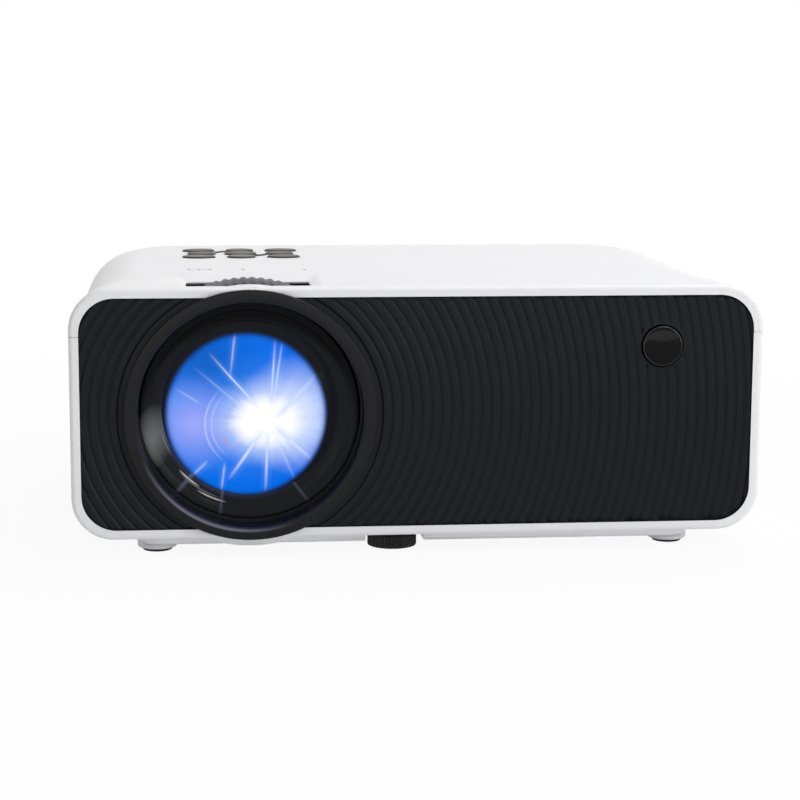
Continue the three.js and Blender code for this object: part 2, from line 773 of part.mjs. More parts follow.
function bottomCover() {
  const belly = prism(
    'z',
    rounded(-bellyWidth / 2, bellyWidth / 2, bellyFront, bellyRear, bellyCorner, cornerSteps),
    bellyZ,
    bodyRise + wall / 2,
  );
  const underside = block([-whole, whole], [-whole, whole], [-whole, bodyRise + wall / 2]);
  const bulge = rod(
    'y', lens, bayRadius + bulgeWall, bayFront - bulgeWall, bayRear + bulgeWall, lensSides,
  ).intersect(underside);
  const feet = feetPlaces.map((place) => rod('z', place, footRadius, footZ, bodyRise, roundSides));
  const padSeats = feetPlaces.map((place) => (
    rod('z', place, padRadius + gap, footZ - overrun, padHeight + gap, roundSides)
  ));
  const bosses = screwPlaces.map((place) => (
    rod('z', place, screwBoss, bodyRise + wall / 2, bossJoint, postSides)
  ));
  const screwHoles = screwPlaces.flatMap((place) => [
    rod('z', place, screwHead + gap, -overrun, headTop + gap, smallSides),
    rod('z', place, screwShank + gap, headTop, bossJoint + overrun, smallSides),
  ]);
  const nutSeat = rod('z', level, nutBoss, bodyRise + wall / 2, floorZ + nutHeight + gap, roundSides);
  const seatTop = bellyZ + tripodHeight + bellyFloor / 2;
  const tripodSeat = rod('z', tripod, tripodBoss, bellyZ, seatTop, roundSides);
  const housingPosts = boardPosts(
    [-bellyWidth / 2 + bellyFloor, housingX[1]], [housingFront, housingRear], housingZ[0],
  );
  const shell = cut(
    join(bareShell.intersect(lowerHalf), belly, bulge, ...feet),
    bellyHollow(),
    rod('y', lens, bayRadius, bayFront, bayRear, lensSides),
    rod('y', lens, sleeveRadius + gap, bayRear - overrun, housingFront, lensSides),
  );
  const supports = join(
    nutSeat,
    tripodSeat,
    ...bosses,
    ...housingPosts,
    ...boardPosts(mainBoardX, mainBoardY, mainBoardZ),
    ...boardPosts(powerBoardX, powerBoardY, powerBoardZ),
    ...fanPosts(),
  ).intersect(join(shellForm(0, wall / 2), belly));
  return cut(
    join(shell, supports),
    block(
      [level[0] - notchWidth / 2, level[0] + notchWidth / 2],
      [bellyFront - overrun, notchRear],
      [bellyZ - overrun, bodyRise],
    ),
    rod('z', level, levelStem + gap, bellyZ, floorZ + overrun, roundSides),
    rod('z', level, nutRadius + gap, floorZ, floorZ + nutHeight + overrun, roundSides),
    rod('z', tripod, tripodRadius + gap, bellyZ - overrun, bellyZ + tripodHeight + gap, roundSides),
    ...screwHoles,
    ...padSeats,
    ...ventCutters(),
  );
}

// Front panel: a grooved face that fills the rim, on a flange behind the rim's lip
const flangeFront = rimDepth + gap;
const flangeRear = flangeFront + panelFlange;

function frontPanel() {
  const reach = Math.hypot(bodyWidth / 2 - lensX, bodyHeight / 2 + Math.abs(midZ - lensZ));
  const grooves = span(Math.ceil((reach - grooveStart) / groovePitch)).reverse().flatMap((i) => {
    const radius = grooveStart + i * groovePitch;
    return [[radius + groovePitch / 2, panelRecess], [radius, panelRecess + grooveDepth]];
  });
  const face = turned('y', lens, [
    [0, flangeRear],
    [reach + groovePitch, flangeRear],
    [reach + groovePitch, panelRecess],
    ...grooves,
    [grooveStart - groovePitch / 2, panelRecess],
    [0, panelRecess],
  ], grooveSides).intersect(prism('y', rimOpening(gap), -overrun, (flangeFront + flangeRear) / 2));
  const flange = stack([flangeFront, flangeRear].map((y) => shellRing(y, wall + gap)));
  const posts = [-1, 1].map((side) => rod(
    'y', [irX + side * irPostSpread, irZ], irPostRadius, flangeRear - panelFlange / 2,
    flangeRear + irPostLength, smallSides,
  ));
  const seat = rod('y', [irX, irZ], irRadius + irGap + irEdge, panelRecess, flangeRear, roundSides);
  return cut(
    join(face, flange, seat, ...posts),
    rod('y', lens, spigotRadius + gap, -overrun, whole, lensSides),
    rod('y', [irX, irZ], irRadius + irGap, -overrun, flangeRear + overrun, roundSides),
  );
}

function lensRing() {
  return turned('y', lens, [
    [spigotBore, spigotRear],
    [spigotRadius, spigotRear],
    [spigotRadius, -gap],
    [ringRadius, -gap],
    [ringRadius, ringEdge - ringProud],
    [ringRadius - ringEdge, -ringProud],
    [lipRadius, -ringProud],
    [spigotBore, lipChamfer - ringProud],
  ], lensSides);
}

// Infrared window, held from behind by its flange, with its board on two posts of the panel
const irFlangeFront = flangeRear + gap;
const irFlangeRear = irFlangeFront + irFlange;
const irBoardFront = flangeRear + irPostLength + gap;

function irWindow() {
  const face = -irProud;
  return turned('y', [irX, irZ], [
    [0, irFlangeRear],
    [irPostSpread - irPostRadius - gap, irFlangeRear],
    [irPostSpread - irPostRadius - gap, irFlangeFront],
    [irRadius, irFlangeFront],
    [irRadius, face + irEdge],
    [irRadius - irEdge, face],
    [irRadius / 2, face - irDome * irShoulderShare],
    [0, face - irDome],
  ], roundSides);
}

function irBoard() {
  const board = block(
    [irX - irBoardWidth / 2, irX + irBoardWidth / 2],
    [irBoardFront, irBoardFront + boardThickness],
    [irZ - irBoardHeight / 2, irZ + irBoardHeight / 2],
  );
  const receiver = block(
    [irX - receiverSize / 2, irX + receiverSize / 2],
    [irFlangeRear + gap, irBoardFront + boardThickness / 2],
    [irZ - receiverSize / 2, irZ + receiverSize / 2],
  );
  return join(board, receiver);
}

// A key: a skirt under the cover, a straight shank through its hole and a chamfered cap
function key([x, y], halfX, halfY) {
  const capTop = topZ + keyRise;
  const levels = [
    [flangeLow, keySkirt],
    [flangeTop, keySkirt],
    [flangeTop, 0],
    [capTop - keyEdge, 0],
    [capTop, -keyEdge],
  ];
  return stack(levels.map(([z, grow]) => (
    oval([x, y], halfX + grow, halfY + grow, keySides).map(([a, b]) => [a, b, z])
  )));
}

function keyBoard() {
  const board = block(keyBoardX, keyBoardY, [keyBoardTop - boardThickness, keyBoardTop]);
  const switches = keys.map(([, across, back]) => {
    const [x, y] = keyPlace(across, back);
    return block(
      [x - switchSize / 2, x + switchSize / 2],
      [y - switchSize / 2, y + switchSize / 2],
      [keyBoardTop - boardThickness / 2, switchTop],
    );
  });
  return join(board, ...switches);
}

// Focus ring: a knurled ring that turns on the barrel and rides with it
function focusRing() {
  const rim = span(focusTeeth).flatMap((i) => {
    const turn = (tooth) => ((i + tooth) / focusTeeth) * 2 * Math.PI;
    return toothShares.map(([tooth, depthShare]) => {
      const radius = focusRadius - focusTooth * depthShare;
      return [lensX + radius * Math.cos(turn(tooth)), lensZ + radius * Math.sin(turn(tooth))];
    });
  });
  return cut(
    prism('y', rim, focusFront, focusFront + focusWidth),
    rod('y', lens, barrelRadius + gap, focusFront - overrun, focusFront + focusWidth + overrun, lensSides),
  );
}

const glassSeatRadius = frontGlassRadius + gap;
const frontGlassRear = barrelSeat - gap;
const frontGlassRim = frontGlassRear - frontGlassEdge;

function lensBarrel() {
  return turned('y', lens, [
    [barrelRadius, barrelFront],
    [barrelRadius, barrelRear],
    [rearGlassRadius + gap, barrelRear],
    [rearGlassRadius + gap, rearSeat],
    [rearSeatBore, rearSeat],
    [rearSeatBore, rearSeat - rearSeatWeb],
    [barrelBore, rearSeat - rearSeatWeb],
    [barrelBore, barrelSeat],
    [glassSeatRadius, barrelSeat],
    [glassSeatRadius, frontGlassRim],
    [retainerFlare + gap, frontGlassRim],
    [retainerFlare + gap, barrelFront + barrelLip],
    [barrelRadius - barrelLip, barrelFront],
  ], lensSides);
}

function frontGlass() {
  return turned('y', lens, [
    [0, frontGlassRear],
    [frontGlassRadius, frontGlassRear],
    ...dome(frontFaceRadius, frontGlassRadius, frontGlassRim, -1, domeSteps),
  ], lensSides);
}

function glassRetainer() {
  const rear = frontGlassRim - bulgeOf(frontFaceRadius, frontGlassRadius)
    + bulgeOf(frontFaceRadius, retainerBore) - gap;
  const outerRear = frontGlassRim - gap;
  const front = outerRear - retainerDepth;
  return turned('y', lens, [
    [retainerBore, rear - retainerStep],
    [retainerBore, rear],
    [frontGlassRadius, outerRear],
    [retainerFlare, outerRear],
    [retainerFlare, front],
    [retainerFlare - retainerStep, front],
  ], lensSides);
}

function rearGlass() {
  const front = rearSeat + gap;
  return turned('y', lens, [
    [0, front],
    [rearGlassRadius, front],
    ...dome(rearFaceRadius, rearGlassRadius, front + rearGlassEdge, 1, domeSteps),
  ], lensSides);
}

function lensSleeve() {
  const front = bayRear + gap;
  const rear = housingFront - gap;
  const tube = rod('y', lens, sleeveRadius, front, rear, lensSides);
  const flange = block(
    [lensX - sleeveRadius, lensX + sleeveRadius], [rear - sleeveFlange, rear], housingZ,
  );
  return cut(
    join(tube, flange),
    rod('y', lens, barrelRadius + gap, front - overrun, rear + overrun, lensSides),
  );
}

// Light engine behind the lens
const housingInner = [
  [housingX[0] + housingWall, housingX[1] - housingWall],
  [housingZ[0] + housingWall, housingZ[1] - housingWall],
];
const plateX = [housingInner[0][0] + gap, housingInner[0][1] - gap];
const plateZ = [housingInner[1][0] + gap, housingInner[1][1] - gap];

function opticalHousing() {
  return cut(
    block(housingX, [housingFront, housingRear], housingZ),
    block(housingInner[0], [housingFront + housingWall, housingRear + overrun], housingInner[1]),
    rod('y', lens, barrelRadius - windowWall, housingFront - overrun, lcdY, lensSides),
    block(
      [housingInner[0][1] - overrun, housingX[1] + overrun],
      [lcdY - plateRoom, lcdY + lcdThickness + plateRoom],
      [ribbonZ[0] - overrun, ribbonZ[1] + overrun],
    ),
  );
}

const opticalPlate = (front, thickness) => block(plateX, [front, front + thickness], plateZ);

function lcdRibbon() {
  const middle = lcdY + lcdThickness / 2;
  const [near, far] = [middle - ribbonThickness / 2, middle + ribbonThickness / 2];
  return prism('z', [
    [plateX[1] + gap, near],
    [ribbonX, near],
    [ribbonX, ribbonEnd],
    [ribbonX - ribbonThickness, ribbonEnd],
    [ribbonX - ribbonThickness, far],
    [plateX[1] + gap, far],
  ], ...ribbonZ);
}

function lightFunnel() {
  const square = (half, y) => rectangle(lensX - half, lensX + half, lensZ - half, lensZ + half)
    .map(([x, z]) => [x, y, z]);
  const frame = ([left, right], [low, high], y) => rectangle(left, right, low, high)
    .map(([x, z]) => [x, y, z]);
  const inner = funnelInner / 2;
  const outer = inner + housingWall;
  const tube = (half, front, rear) => block(
    [lensX - half, lensX + half], [front, rear], [lensZ - half, lensZ + half],
  );
  return cut(
    join(
      hull([...frame(housingX, housingZ, funnelFront), ...square(outer, funnelTaperRear)]),
      tube(outer, funnelTaperRear - overrun / 2, funnelRear),
    ),
    hull([...frame(...housingInner, funnelFront), ...square(inner, funnelTaperRear)]),
    tube(inner, funnelTaperRear - overrun / 2, funnelRear + overrun),
  );
}

function condenserLens() {
  const rear = ledFront - ledEmitterHeight - gap;
  return turned('y', lens, [
    [0, rear],
    [condenserRadius, rear],
    ...dome(condenserFaceRadius, condenserRadius, rear - condenserEdge, -1, domeSteps),
  ], roundSides);
}

function ledModule() {
  const half = ledBoard / 2;
  const emitter = ledEmitter / 2;
  return join(
    block(
      [lensX - half, lensX + half], [ledFront, ledFront + ledBoardThickness], [lensZ - half, lensZ + half],
    ),
    block(
      [lensX - emitter, lensX + emitter],
      [ledFront - ledEmitterHeight, ledFront + ledBoardThickness / 2],
      [lensZ - emitter, lensZ + emitter],
    ),
  );
}

function heatSink() {
  const left = lensX - sinkWidth / 2;
  const step = (sinkWidth - sinkFin) / (sinkFins - 1);
  const base = sinkFront + sinkBase;
  const fins = span(sinkFins).flatMap((i) => {
    const x = left + i * step;
    return [[x, i === 0 ? sinkFront : base], [x, sinkRear], [x + sinkFin, sinkRear], [
      x + sinkFin, i === sinkFins - 1 ? sinkFront : base,
    ]];
  });
  return prism('z', fins, lensZ - sinkHeight / 2, lensZ + sinkHeight / 2);
}

// A square fan. Its blades lean across the depth of the frame, more so at the tip than at the hub
const bladeLeanShares = [[0.5, 0.36], [1, 0.6]]; // of hub radius or reach, and of the hub radius

function fan(axis, [a, b], size, depth, front) {
  const bore = size / 2 - fanRim;
  const hub = size * hubShare;
  const rear = front + depth;
  const spider = rear - fanSpider;
  const half = size / 2;
  const tip = bore - fanTip;
  const frame = cut(
    prism(axis, rounded(a - half, a + half, b - half, b + half, fanCorner, cornerSteps), front, rear),
    rod(axis, [a, b], bore, front - overrun, rear + overrun, boreSides),
  );
  const reach = bore + fanRim / 2;
  const spokes = [[reach, fanStrut / 2], [fanStrut / 2, reach]].map(([across, up]) => (
    prism(axis, rectangle(a - across, a + across, b - up, b + up), spider, rear)
  ));
  const plate = rod(axis, [a, b], hub, spider, rear, roundSides);
  const [low, high] = [front + 2 * gap, spider - 2 * gap];
  const blades = span(fanBlades).map((i) => {
    const turn = (i / fanBlades) * 2 * Math.PI;
    const points = bladeLeanShares.flatMap(([reachShare, leanShare], end) => {
      const lean = hub * leanShare;
      const radius = end === 0 ? hub * reachShare : Math.sqrt(tip ** 2 - lean ** 2);
      const section = [[-lean, low], [fanBlade - lean, low], [lean - fanBlade, high], [lean, high]];
      return section.map(([side, along]) => {
        const [u, v] = [
          a + radius * Math.cos(turn) - side * Math.sin(turn),
          b + radius * Math.sin(turn) + side * Math.cos(turn),
        ];
        return axis === 'x' ? [along, u, v] : [u, along, v];
      });
    });
    return hull(points);
  });
  const core = rod(axis, [a, b], hub, front + gap, spider - gap, roundSides);
  return { frame: join(frame, ...spokes, plate), rotor: join(core, ...blades) };
}

// Main board: chips, a cooler, a plug for the ribbon and a block of capacitors
const boardTop = mainBoardZ + boardThickness;
const shareOf = ([low, high], share) => low + (high - low) * share;

// Things on a board: left, right, front and rear as shares of the board, and a height
function onBoard(boardX, boardY, top, [left, right, front, rear], height) {
  return block(
    [shareOf(boardX, left), shareOf(boardX, right)],
    [shareOf(boardY, front), shareOf(boardY, rear)],
    [top - boardThickness / 2, top + height],
  );
}

const coolerShares = [0.3, 0.55, 0.12, 0.36];
const chipShares = [[0.62, 0.8, 0.15, 0.33], [0.62, 0.85, 0.42, 0.52], [0.3, 0.42, 0.44, 0.6]];

function mainBoard() {
  return join(
    block(mainBoardX, mainBoardY, [mainBoardZ, boardTop]),
    onBoard(mainBoardX, mainBoardY, boardTop, coolerShares, coolerHeight),
    ...chipShares.map((shares) => onBoard(mainBoardX, mainBoardY, boardTop, shares, chipHeight)),
    block(
      [ribbonX - ribbonPlug / 2, ribbonX + ribbonPlug / 2],
      [mainBoardY[0], ribbonEnd],
      [boardTop - boardThickness / 2, ribbonZ[0] - gap],
    ),
  );
}

const transformerShares = [0.45, 0.75, 0.2, 0.55];
const heatPlateShares = [0.85, 0.88, 0.15, 0.6];
const capacitorShares = [0.25, 0.3]; // places across and along the board
const coilShares = [[0.25, 0.75], [0.6, 0.8]];

function powerBoard() {
  const top = powerBoardZ + boardThickness;
  const part = ([x, y], radius, height) => rod(
    'z',
    [shareOf(powerBoardX, x), shareOf(powerBoardY, y)],
    radius,
    top - boardThickness / 2,
    top + height,
    roundSides,
  );
  return join(
    block(powerBoardX, powerBoardY, [powerBoardZ, top]),
    onBoard(powerBoardX, powerBoardY, top, transformerShares, transformerHeight),
    onBoard(powerBoardX, powerBoardY, top, heatPlateShares, transformerHeight),
    part(capacitorShares, capacitorRadius, capacitorHeight),
    ...coilShares.map((shares) => part(shares, coilRadius, coilHeight)),
  );
}

// Sockets stand on the main board and end just inside the face of the rear panel
const socketFace = bodyDepth - socketRecess;

function shellSocket(x, width, height, depth, tongueLow) {
  const low = boardTop + gap;
  const inner = [x - width / 2 + socketSkin, x + width / 2 - socketSkin];
  return join(
    cut(
      block([x - width / 2, x + width / 2], [socketFace - depth, socketFace], [low, low + height]),
      block(
        inner,
        [socketFace - depth + socketSkin, socketFace + overrun],
        [low + socketSkin, low + height - socketSkin],
      ),
    ),
    block(
      [inner[0] + tongueSide, inner[1] - tongueSide],
      [socketFace - depth + socketSkin / 2, socketFace - socketSkin],
      [low + tongueLow, low + tongueLow + tongueThickness],
    ),
  );
}

const jackZ = boardTop + gap + jackWidth / 2;

function jack(x) {
  const nose = bodyDepth - wall - gap - rearFlange - gap;
  return cut(
    join(
      block([x - jackWidth / 2, x + jackWidth / 2], [nose - jackDepth, nose], [
        jackZ - jackWidth / 2, jackZ + jackWidth / 2,
      ]),
      rod('y', [x, jackZ], jackNose, nose - overrun, socketFace, roundSides),
    ),
    rod('y', [x, jackZ], jackBore, nose - jackDepth / 2, socketFace + overrun, smallSides),
  );
}

const cardTop = mainBoardZ - gap;

function cardSocket() {
  const [low, middle] = [cardTop - cardHeight, cardTop - cardHeight / 2];
  const side = cardWidth / 2;
  return cut(
    block([cardX - side, cardX + side], [socketFace - cardDepth, socketFace], [low, cardTop]),
    block(
      [cardX - side + socketSkin, cardX + side - socketSkin],
      [socketFace - cardDepth + socketSkin, socketFace + overrun],
      [middle - cardSlot / 2, middle + cardSlot / 2],
    ),
  );
}

// Mains inlet: two pins in a cavity, held from inside by its flange
const inletFlangeRear = rearFlangeFront - gap;

function mainsInlet() {
  const [x, z] = [inletX, inletZ];
  const [halfWidth, halfHeight] = [inletWidth / 2, inletHeight / 2];
  const [side, rise] = [inletCavityWidth / 2, inletCavityHeight / 2];
  const floor = socketFace - inletCavityDepth;
  const plate = (margin, corner, from, to) => prism('y', rounded(
    x - halfWidth - margin, x + halfWidth + margin,
    z - halfHeight - margin, z + halfHeight + margin,
    corner, cornerSteps,
  ), from, to);
  const cavity = rounded(x - side, x + side, z - rise, z + rise, rise - socketSkin, cavitySteps);
  const pins = [-1, 1].map((way) => rod(
    'y', [x + way * pinSpacing / 2, z], pinRadius, floor - overrun, floor + pinLength, smallSides,
  ));
  return join(
    cut(
      join(
        plate(0, socketSkin, socketFace - inletDepth, socketFace),
        plate(inletMargin, inletMargin, inletFlangeRear - inletFlange, inletFlangeRear),
      ),
      prism('y', cavity, floor, socketFace + overrun),
    ),
    ...pins,
  );
}

// Rear panel: a plate in the opening of the covers on a flange behind it
function rearIrWindow() {
  return turned('y', [rearIrX, rearIrZ], [
    [0, inletFlangeRear - irFlange],
    [rearIrRadius + irFlange, inletFlangeRear - irFlange],
    [rearIrRadius + irFlange, inletFlangeRear],
    [rearIrRadius, inletFlangeRear],
    [rearIrRadius, bodyDepth - irEdge],
    [rearIrRadius - irEdge, bodyDepth],
    [0, bodyDepth],
  ], roundSides);
}

function rearPanel() {
  const plate = prism('y', rearOpening(-gap), rearFlangeFront + rearFlange / 2, bodyDepth);
  const flange = prism('y', rearOpening(rearMargin), rearFlangeFront, rearFlangeFront + rearFlange);
  const through = [rearFlangeFront - overrun, bodyDepth + overrun];
  const hole = (x, z, width, height) => block(
    [x - width / 2 - gap, x + width / 2 + gap], through, [z - height / 2 - gap, z + height / 2 + gap],
  );
  const socketZ = (height) => boardTop + gap + height / 2;
  const grille = span(grilleSlots).map((i) => {
    const x = lensX + (i - (grilleSlots - 1) / 2) * grillePitch;
    return block([x - grilleSlot / 2, x + grilleSlot / 2], through, [
      lensZ - grilleHeight / 2, lensZ + grilleHeight / 2,
    ]);
  });
  return cut(
    join(plate, flange),
    hole(videoX, socketZ(videoHeight), videoWidth, videoHeight),
    hole(dataX, socketZ(dataHeight), dataWidth, dataHeight),
    hole(cardX, cardTop - cardHeight / 2, cardWidth, cardHeight),
    hole(inletX, inletZ, inletWidth, inletHeight),
    rod('y', [avX, jackZ], jackNose + gap, ...through, roundSides),
    rod('y', [phonesX, jackZ], jackNose + gap, ...through, roundSides),
    rod('y', [rearIrX, rearIrZ], rearIrRadius + gap, ...through, roundSides),
    ...grille,
  );
}

// Loudspeaker, facing the slots of the right wall
function loudspeaker() {
  const face = innerSide - gap;
  const plate = prism('x', rounded(
    speakerY - speakerLength / 2, speakerY + speakerLength / 2,
    midZ - speakerHeight / 2, midZ + speakerHeight / 2,
    speakerHeight / 2, speakerSteps,
  ), face - speakerPlate, face);
  const basket = [
    ...rectangle(
      speakerY - speakerLength / 2 + speakerPlate, speakerY + speakerLength / 2 - speakerPlate,
      midZ - speakerNeck, midZ + speakerNeck,
    ).map(([y, z]) => [face - speakerPlate / 2, y, z]),
    ...circle([speakerY, midZ], speakerNeck, smallSides).map(([y, z]) => [
      face - speakerPlate - speakerBasket, y, z,
    ]),
  ];
  const magnetFront = face - speakerPlate - speakerBasket / 2;
  const magnetRear = magnetFront - speakerBasket / 2 - magnetDepth;
  const magnet = rod('x', [speakerY, midZ], magnetRadius, magnetRear, magnetFront, roundSides);
  return join(plate, hull(basket), magnet);
}

// Adjustable foot: a knurled disc that turns on a stem, and the stem's nut in the bottom cover
function levelDisc() {
  const rim = span(levelGrooves).flatMap((i) => [
    [levelRadius, i], [levelRadius - levelGroove, i + 1 / 2],
  ]).map(([radius, step]) => {
    const turn = (step / levelGrooves) * 2 * Math.PI;
    return [level[0] + radius * Math.cos(turn), levelY + radius * Math.sin(turn)];
  });
  return cut(
    prism('z', rim, levelZ, levelZ + levelHeight),
    rod('z', level, levelStem + gap, levelZ + levelHeight / 2, levelZ + levelHeight + overrun, roundSides),
  );
}

function levelStemPart() {
  return rod('z', level, levelStem, levelZ + levelHeight / 2 + gap, levelTop, roundSides);
}

function levelNut() {
  return cut(
    rod('z', level, nutRadius, floorZ + gap, floorZ + nutHeight, roundSides),
    rod('z', level, levelStem + gap, floorZ - overrun, floorZ + nutHeight + overrun, roundSides),
  );
}

function tripodInsert() {
  return cut(
    rod('z', tripod, tripodRadius, bellyZ, bellyZ + tripodHeight, roundSides),
    rod('z', tripod, tripodBore, bellyZ - overrun, bellyZ + tripodHeight + overrun, roundSides),
  );
}

add('top_cover', topCover(), whitePlastic);
add('bottom_cover', bottomCover(), whitePlastic);
add('front_panel', frontPanel(), blackPlastic);
add('lens_ring', lensRing(), blackPlastic);
add('ir_window', irWindow(), gloss);
add('ir_board', irBoard(), circuit);
add('rear_panel', rearPanel(), blackPlastic);
add('rear_ir_window', rearIrWindow(), gloss);
keys.forEach(([name, across, back, halfX, halfY]) => {
  add(name, key(keyPlace(across, back), halfX, halfY), keyPlastic);
});
add('key_board', keyBoard(), circuit);

add('focus_ring', focusRing(), greyPlastic);
add('lens_barrel', lensBarrel(), blackPlastic);
add('front_glass', frontGlass(), glass);
add('glass_retainer', glassRetainer(), blackPlastic);
add('rear_glass', rearGlass(), glass);
add('lens_sleeve', lensSleeve(), blackPlastic);

add('optical_housing', opticalHousing(), blackPlastic);
add('front_fresnel', opticalPlate(frontFresnelY, fresnelThickness), glass);
add('lcd_panel', opticalPlate(lcdY, lcdThickness), gloss);
add('rear_fresnel', opticalPlate(rearFresnelY, fresnelThickness), glass);
add('lcd_ribbon', lcdRibbon(), flex);
add('light_funnel', lightFunnel(), greyPlastic);
add('condenser_lens', condenserLens(), glass);
add('led_module', ledModule(), aluminium);
add('heat_sink', heatSink(), aluminium);

const rearFan = fan('y', lens, rearFanSize, rearFanDepth, rearFanFront);
add('rear_fan_frame', rearFan.frame, blackPlastic);
add('rear_fan_rotor', rearFan.rotor, greyPlastic);
const sideFan = fan('x', [sideFanY, midZ], sideFanSize, sideFanDepth, sideFanFrom);
add('side_fan_frame', sideFan.frame, blackPlastic);
add('side_fan_rotor', sideFan.rotor, greyPlastic);

add('main_board', mainBoard(), circuit);
add('power_board', powerBoard(), circuit);
const videoTongue = (videoHeight - tongueThickness) / 2;
add('video_socket', shellSocket(videoX, videoWidth, videoHeight, videoDepth, videoTongue), steel);
add('data_socket', shellSocket(dataX, dataWidth, dataHeight, dataDepth, dataHeight / 2), steel);
add('av_jack', jack(avX), blackPlastic);
add('phones_jack', jack(phonesX), blackPlastic);
add('card_socket', cardSocket(), steel);
add('mains_inlet', mainsInlet(), blackPlastic);
add('loudspeaker', loudspeaker(), greyPlastic);

const corners = ['front_left', 'rear_left', 'front_right', 'rear_right'];
corners.forEach((corner, i) => {
  add(`pad_${corner}`, rod('z', feetPlaces[i], padRadius, 0, padHeight, roundSides), rubber);
});
add('foot_disc', levelDisc(), blackPlastic);
add('foot_stem', levelStemPart(), steel);
add('foot_nut', levelNut(), brass);
add('tripod_insert', tripodInsert(), brass);
screwPlaces.forEach((place, i) => add(`case_screw_${i + 1}`, caseScrew(place), steel));

model.position.y = -(bodyDepth - ringProud) / 2;

export default model;
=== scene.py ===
from math import ceil, cos, hypot, pi, radians, sin, sqrt, tau

import bmesh
import bpy
from mathutils import Matrix, Vector


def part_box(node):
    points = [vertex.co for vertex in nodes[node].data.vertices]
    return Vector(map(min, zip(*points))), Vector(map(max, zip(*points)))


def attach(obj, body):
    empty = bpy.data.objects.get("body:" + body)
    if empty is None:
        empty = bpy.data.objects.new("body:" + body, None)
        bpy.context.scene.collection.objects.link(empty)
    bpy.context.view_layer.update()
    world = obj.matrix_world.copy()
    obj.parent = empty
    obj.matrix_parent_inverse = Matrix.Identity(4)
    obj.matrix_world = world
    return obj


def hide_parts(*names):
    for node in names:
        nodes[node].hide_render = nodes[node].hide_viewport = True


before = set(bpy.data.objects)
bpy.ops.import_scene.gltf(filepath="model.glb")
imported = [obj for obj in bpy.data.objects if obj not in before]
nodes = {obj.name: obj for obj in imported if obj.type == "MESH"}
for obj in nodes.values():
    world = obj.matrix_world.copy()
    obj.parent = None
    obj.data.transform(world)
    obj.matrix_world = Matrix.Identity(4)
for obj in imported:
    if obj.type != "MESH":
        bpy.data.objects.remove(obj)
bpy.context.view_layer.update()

MM = 0.001


def box_mm(node):
    """Lowest and highest corner of a node, in millimetres, with y from the front rim."""
    low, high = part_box(node)
    return [Vector((p.x, p.y - front_y, p.z)) / MM for p in (low, high)]


def middle(node, axes="xz"):
    """Middle of a node's box along some axes, in millimetres."""
    low, high = box_mm(node)
    return tuple((getattr(low, axis) + getattr(high, axis)) / 2 for axis in axes)


def radius_of(node):
    """Half of a node's width, in millimetres."""
    low, high = box_mm(node)
    return (high.x - low.x) / 2


front_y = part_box("top_cover")[0].y
high_cover = box_mm("top_cover")[1]

# Shell
wall = 1.8
body_rise = 5.8
half_width = high_cover.x
body_depth = high_cover.y
top_z = high_cover.z
half_height = (top_z - body_rise) / 2
mid_z = body_rise + half_height
front_corner = 12.0
body_corner = 18.0
corner_run = 40.0
rim_ease = 1.3
rim_width = 2.5
rim_corner = 10.4
rim_depth = 2.0
rear_corner = 26.0
rear_ease = 6.0
seam_rise = 0.15
seam_z = box_mm("bottom_cover")[1].z + seam_rise
seam_gap = 0.08
# Corners of the seam groove's section: distance out of the shell, and height over the seam
seam_section = ((-0.1, 0.0), (0.3, -0.4), (0.6, 0.0), (0.3, 0.4))
gap = 0.3

# Lens
lens_axis = middle("lens_ring")
lens_x, lens_z = lens_axis
ring_radius = radius_of("lens_ring")
spigot_radius = 33.9
sleeve_radius = 34.3
bay_radius = 37.8
bay_front, bay_rear = 3.6, 28.9

# Top face
slot_half = 18.1
slot_front, slot_rear = 5.0, 28.3
recess_half = 21.5
recess_rear = 42.8
recess_depth = 1.2
arch_rise = 0.55
arch_depth = 4.0
arch_radius = top_z + arch_rise - lens_z

# Underside
belly_half = 81.0
belly_front, belly_rear = 5.0, 138.0
belly_z = 3.0
belly_corner = 6.0
belly_floor = 2.0
belly_ease = 1.2
bulge_ease = 1.4
foot_radius = 5.8
foot_low = 0.9
foot_ease = 0.7
pad_seat_radius, pad_seat_top = 4.7, 2.5
nut_radius, nut_height = 5.5, 8.0
nut_seat_radius, nut_seat_height = 7.2, 7.3
tripod_bore, tripod_bore_depth = 5.3, 8.3
tripod_seat_radius, tripod_seat_height = 7.0, 9.0
level_bore = 3.3
notch_half = 8.5
notch_rear = 21.5
level_axis = middle("foot_disc", "xy")
level_x = level_axis[0]

# Vents and rear opening
vent_width = 2.6
vent_pitch = 7.0
vent_front = 25.0
vent_margin = 2.0
floor_vent_length = 34.0
floor_vent_inset = 9.0
floor_vents = 7
tripod_y = body_depth / 2 + 5.5
rear_low, rear_high = box_mm("rear_panel")
rear_margin = 2.0
rear_opening_corner = 9.0


# Mesh helpers
def place(point):
    """A point in millimetres as a point of the frame."""
    x, y, z = point
    return (x * MM, front_y + y * MM, z * MM)


def add(name, data):
    """A new object in the scene."""
    piece = bpy.data.objects.new(name, data)
    bpy.context.scene.collection.objects.link(piece)
    return piece


def make(name, points, faces, smooth_deg=35.0):
    """A piece whose coinciding points are merged and whose faces are all turned outwards."""
    mesh = bpy.data.meshes.new(name)
    mesh.from_pydata([place(p) for p in points], [], faces)
    mesh.validate()
    work = bmesh.new()
    work.from_mesh(mesh)
    bmesh.ops.remove_doubles(work, verts=work.verts, dist=1e-7)
    bmesh.ops.recalc_face_normals(work, faces=work.faces)
    work.to_mesh(mesh)
    work.free()
    mesh.shade_smooth()
    mesh.set_sharp_from_angle(angle=radians(smooth_deg))
    return add(name, mesh)


def spread(start, end, count):
    """count + 1 values from start to end."""
    return [start + (end - start) * i / count for i in range(count + 1)]


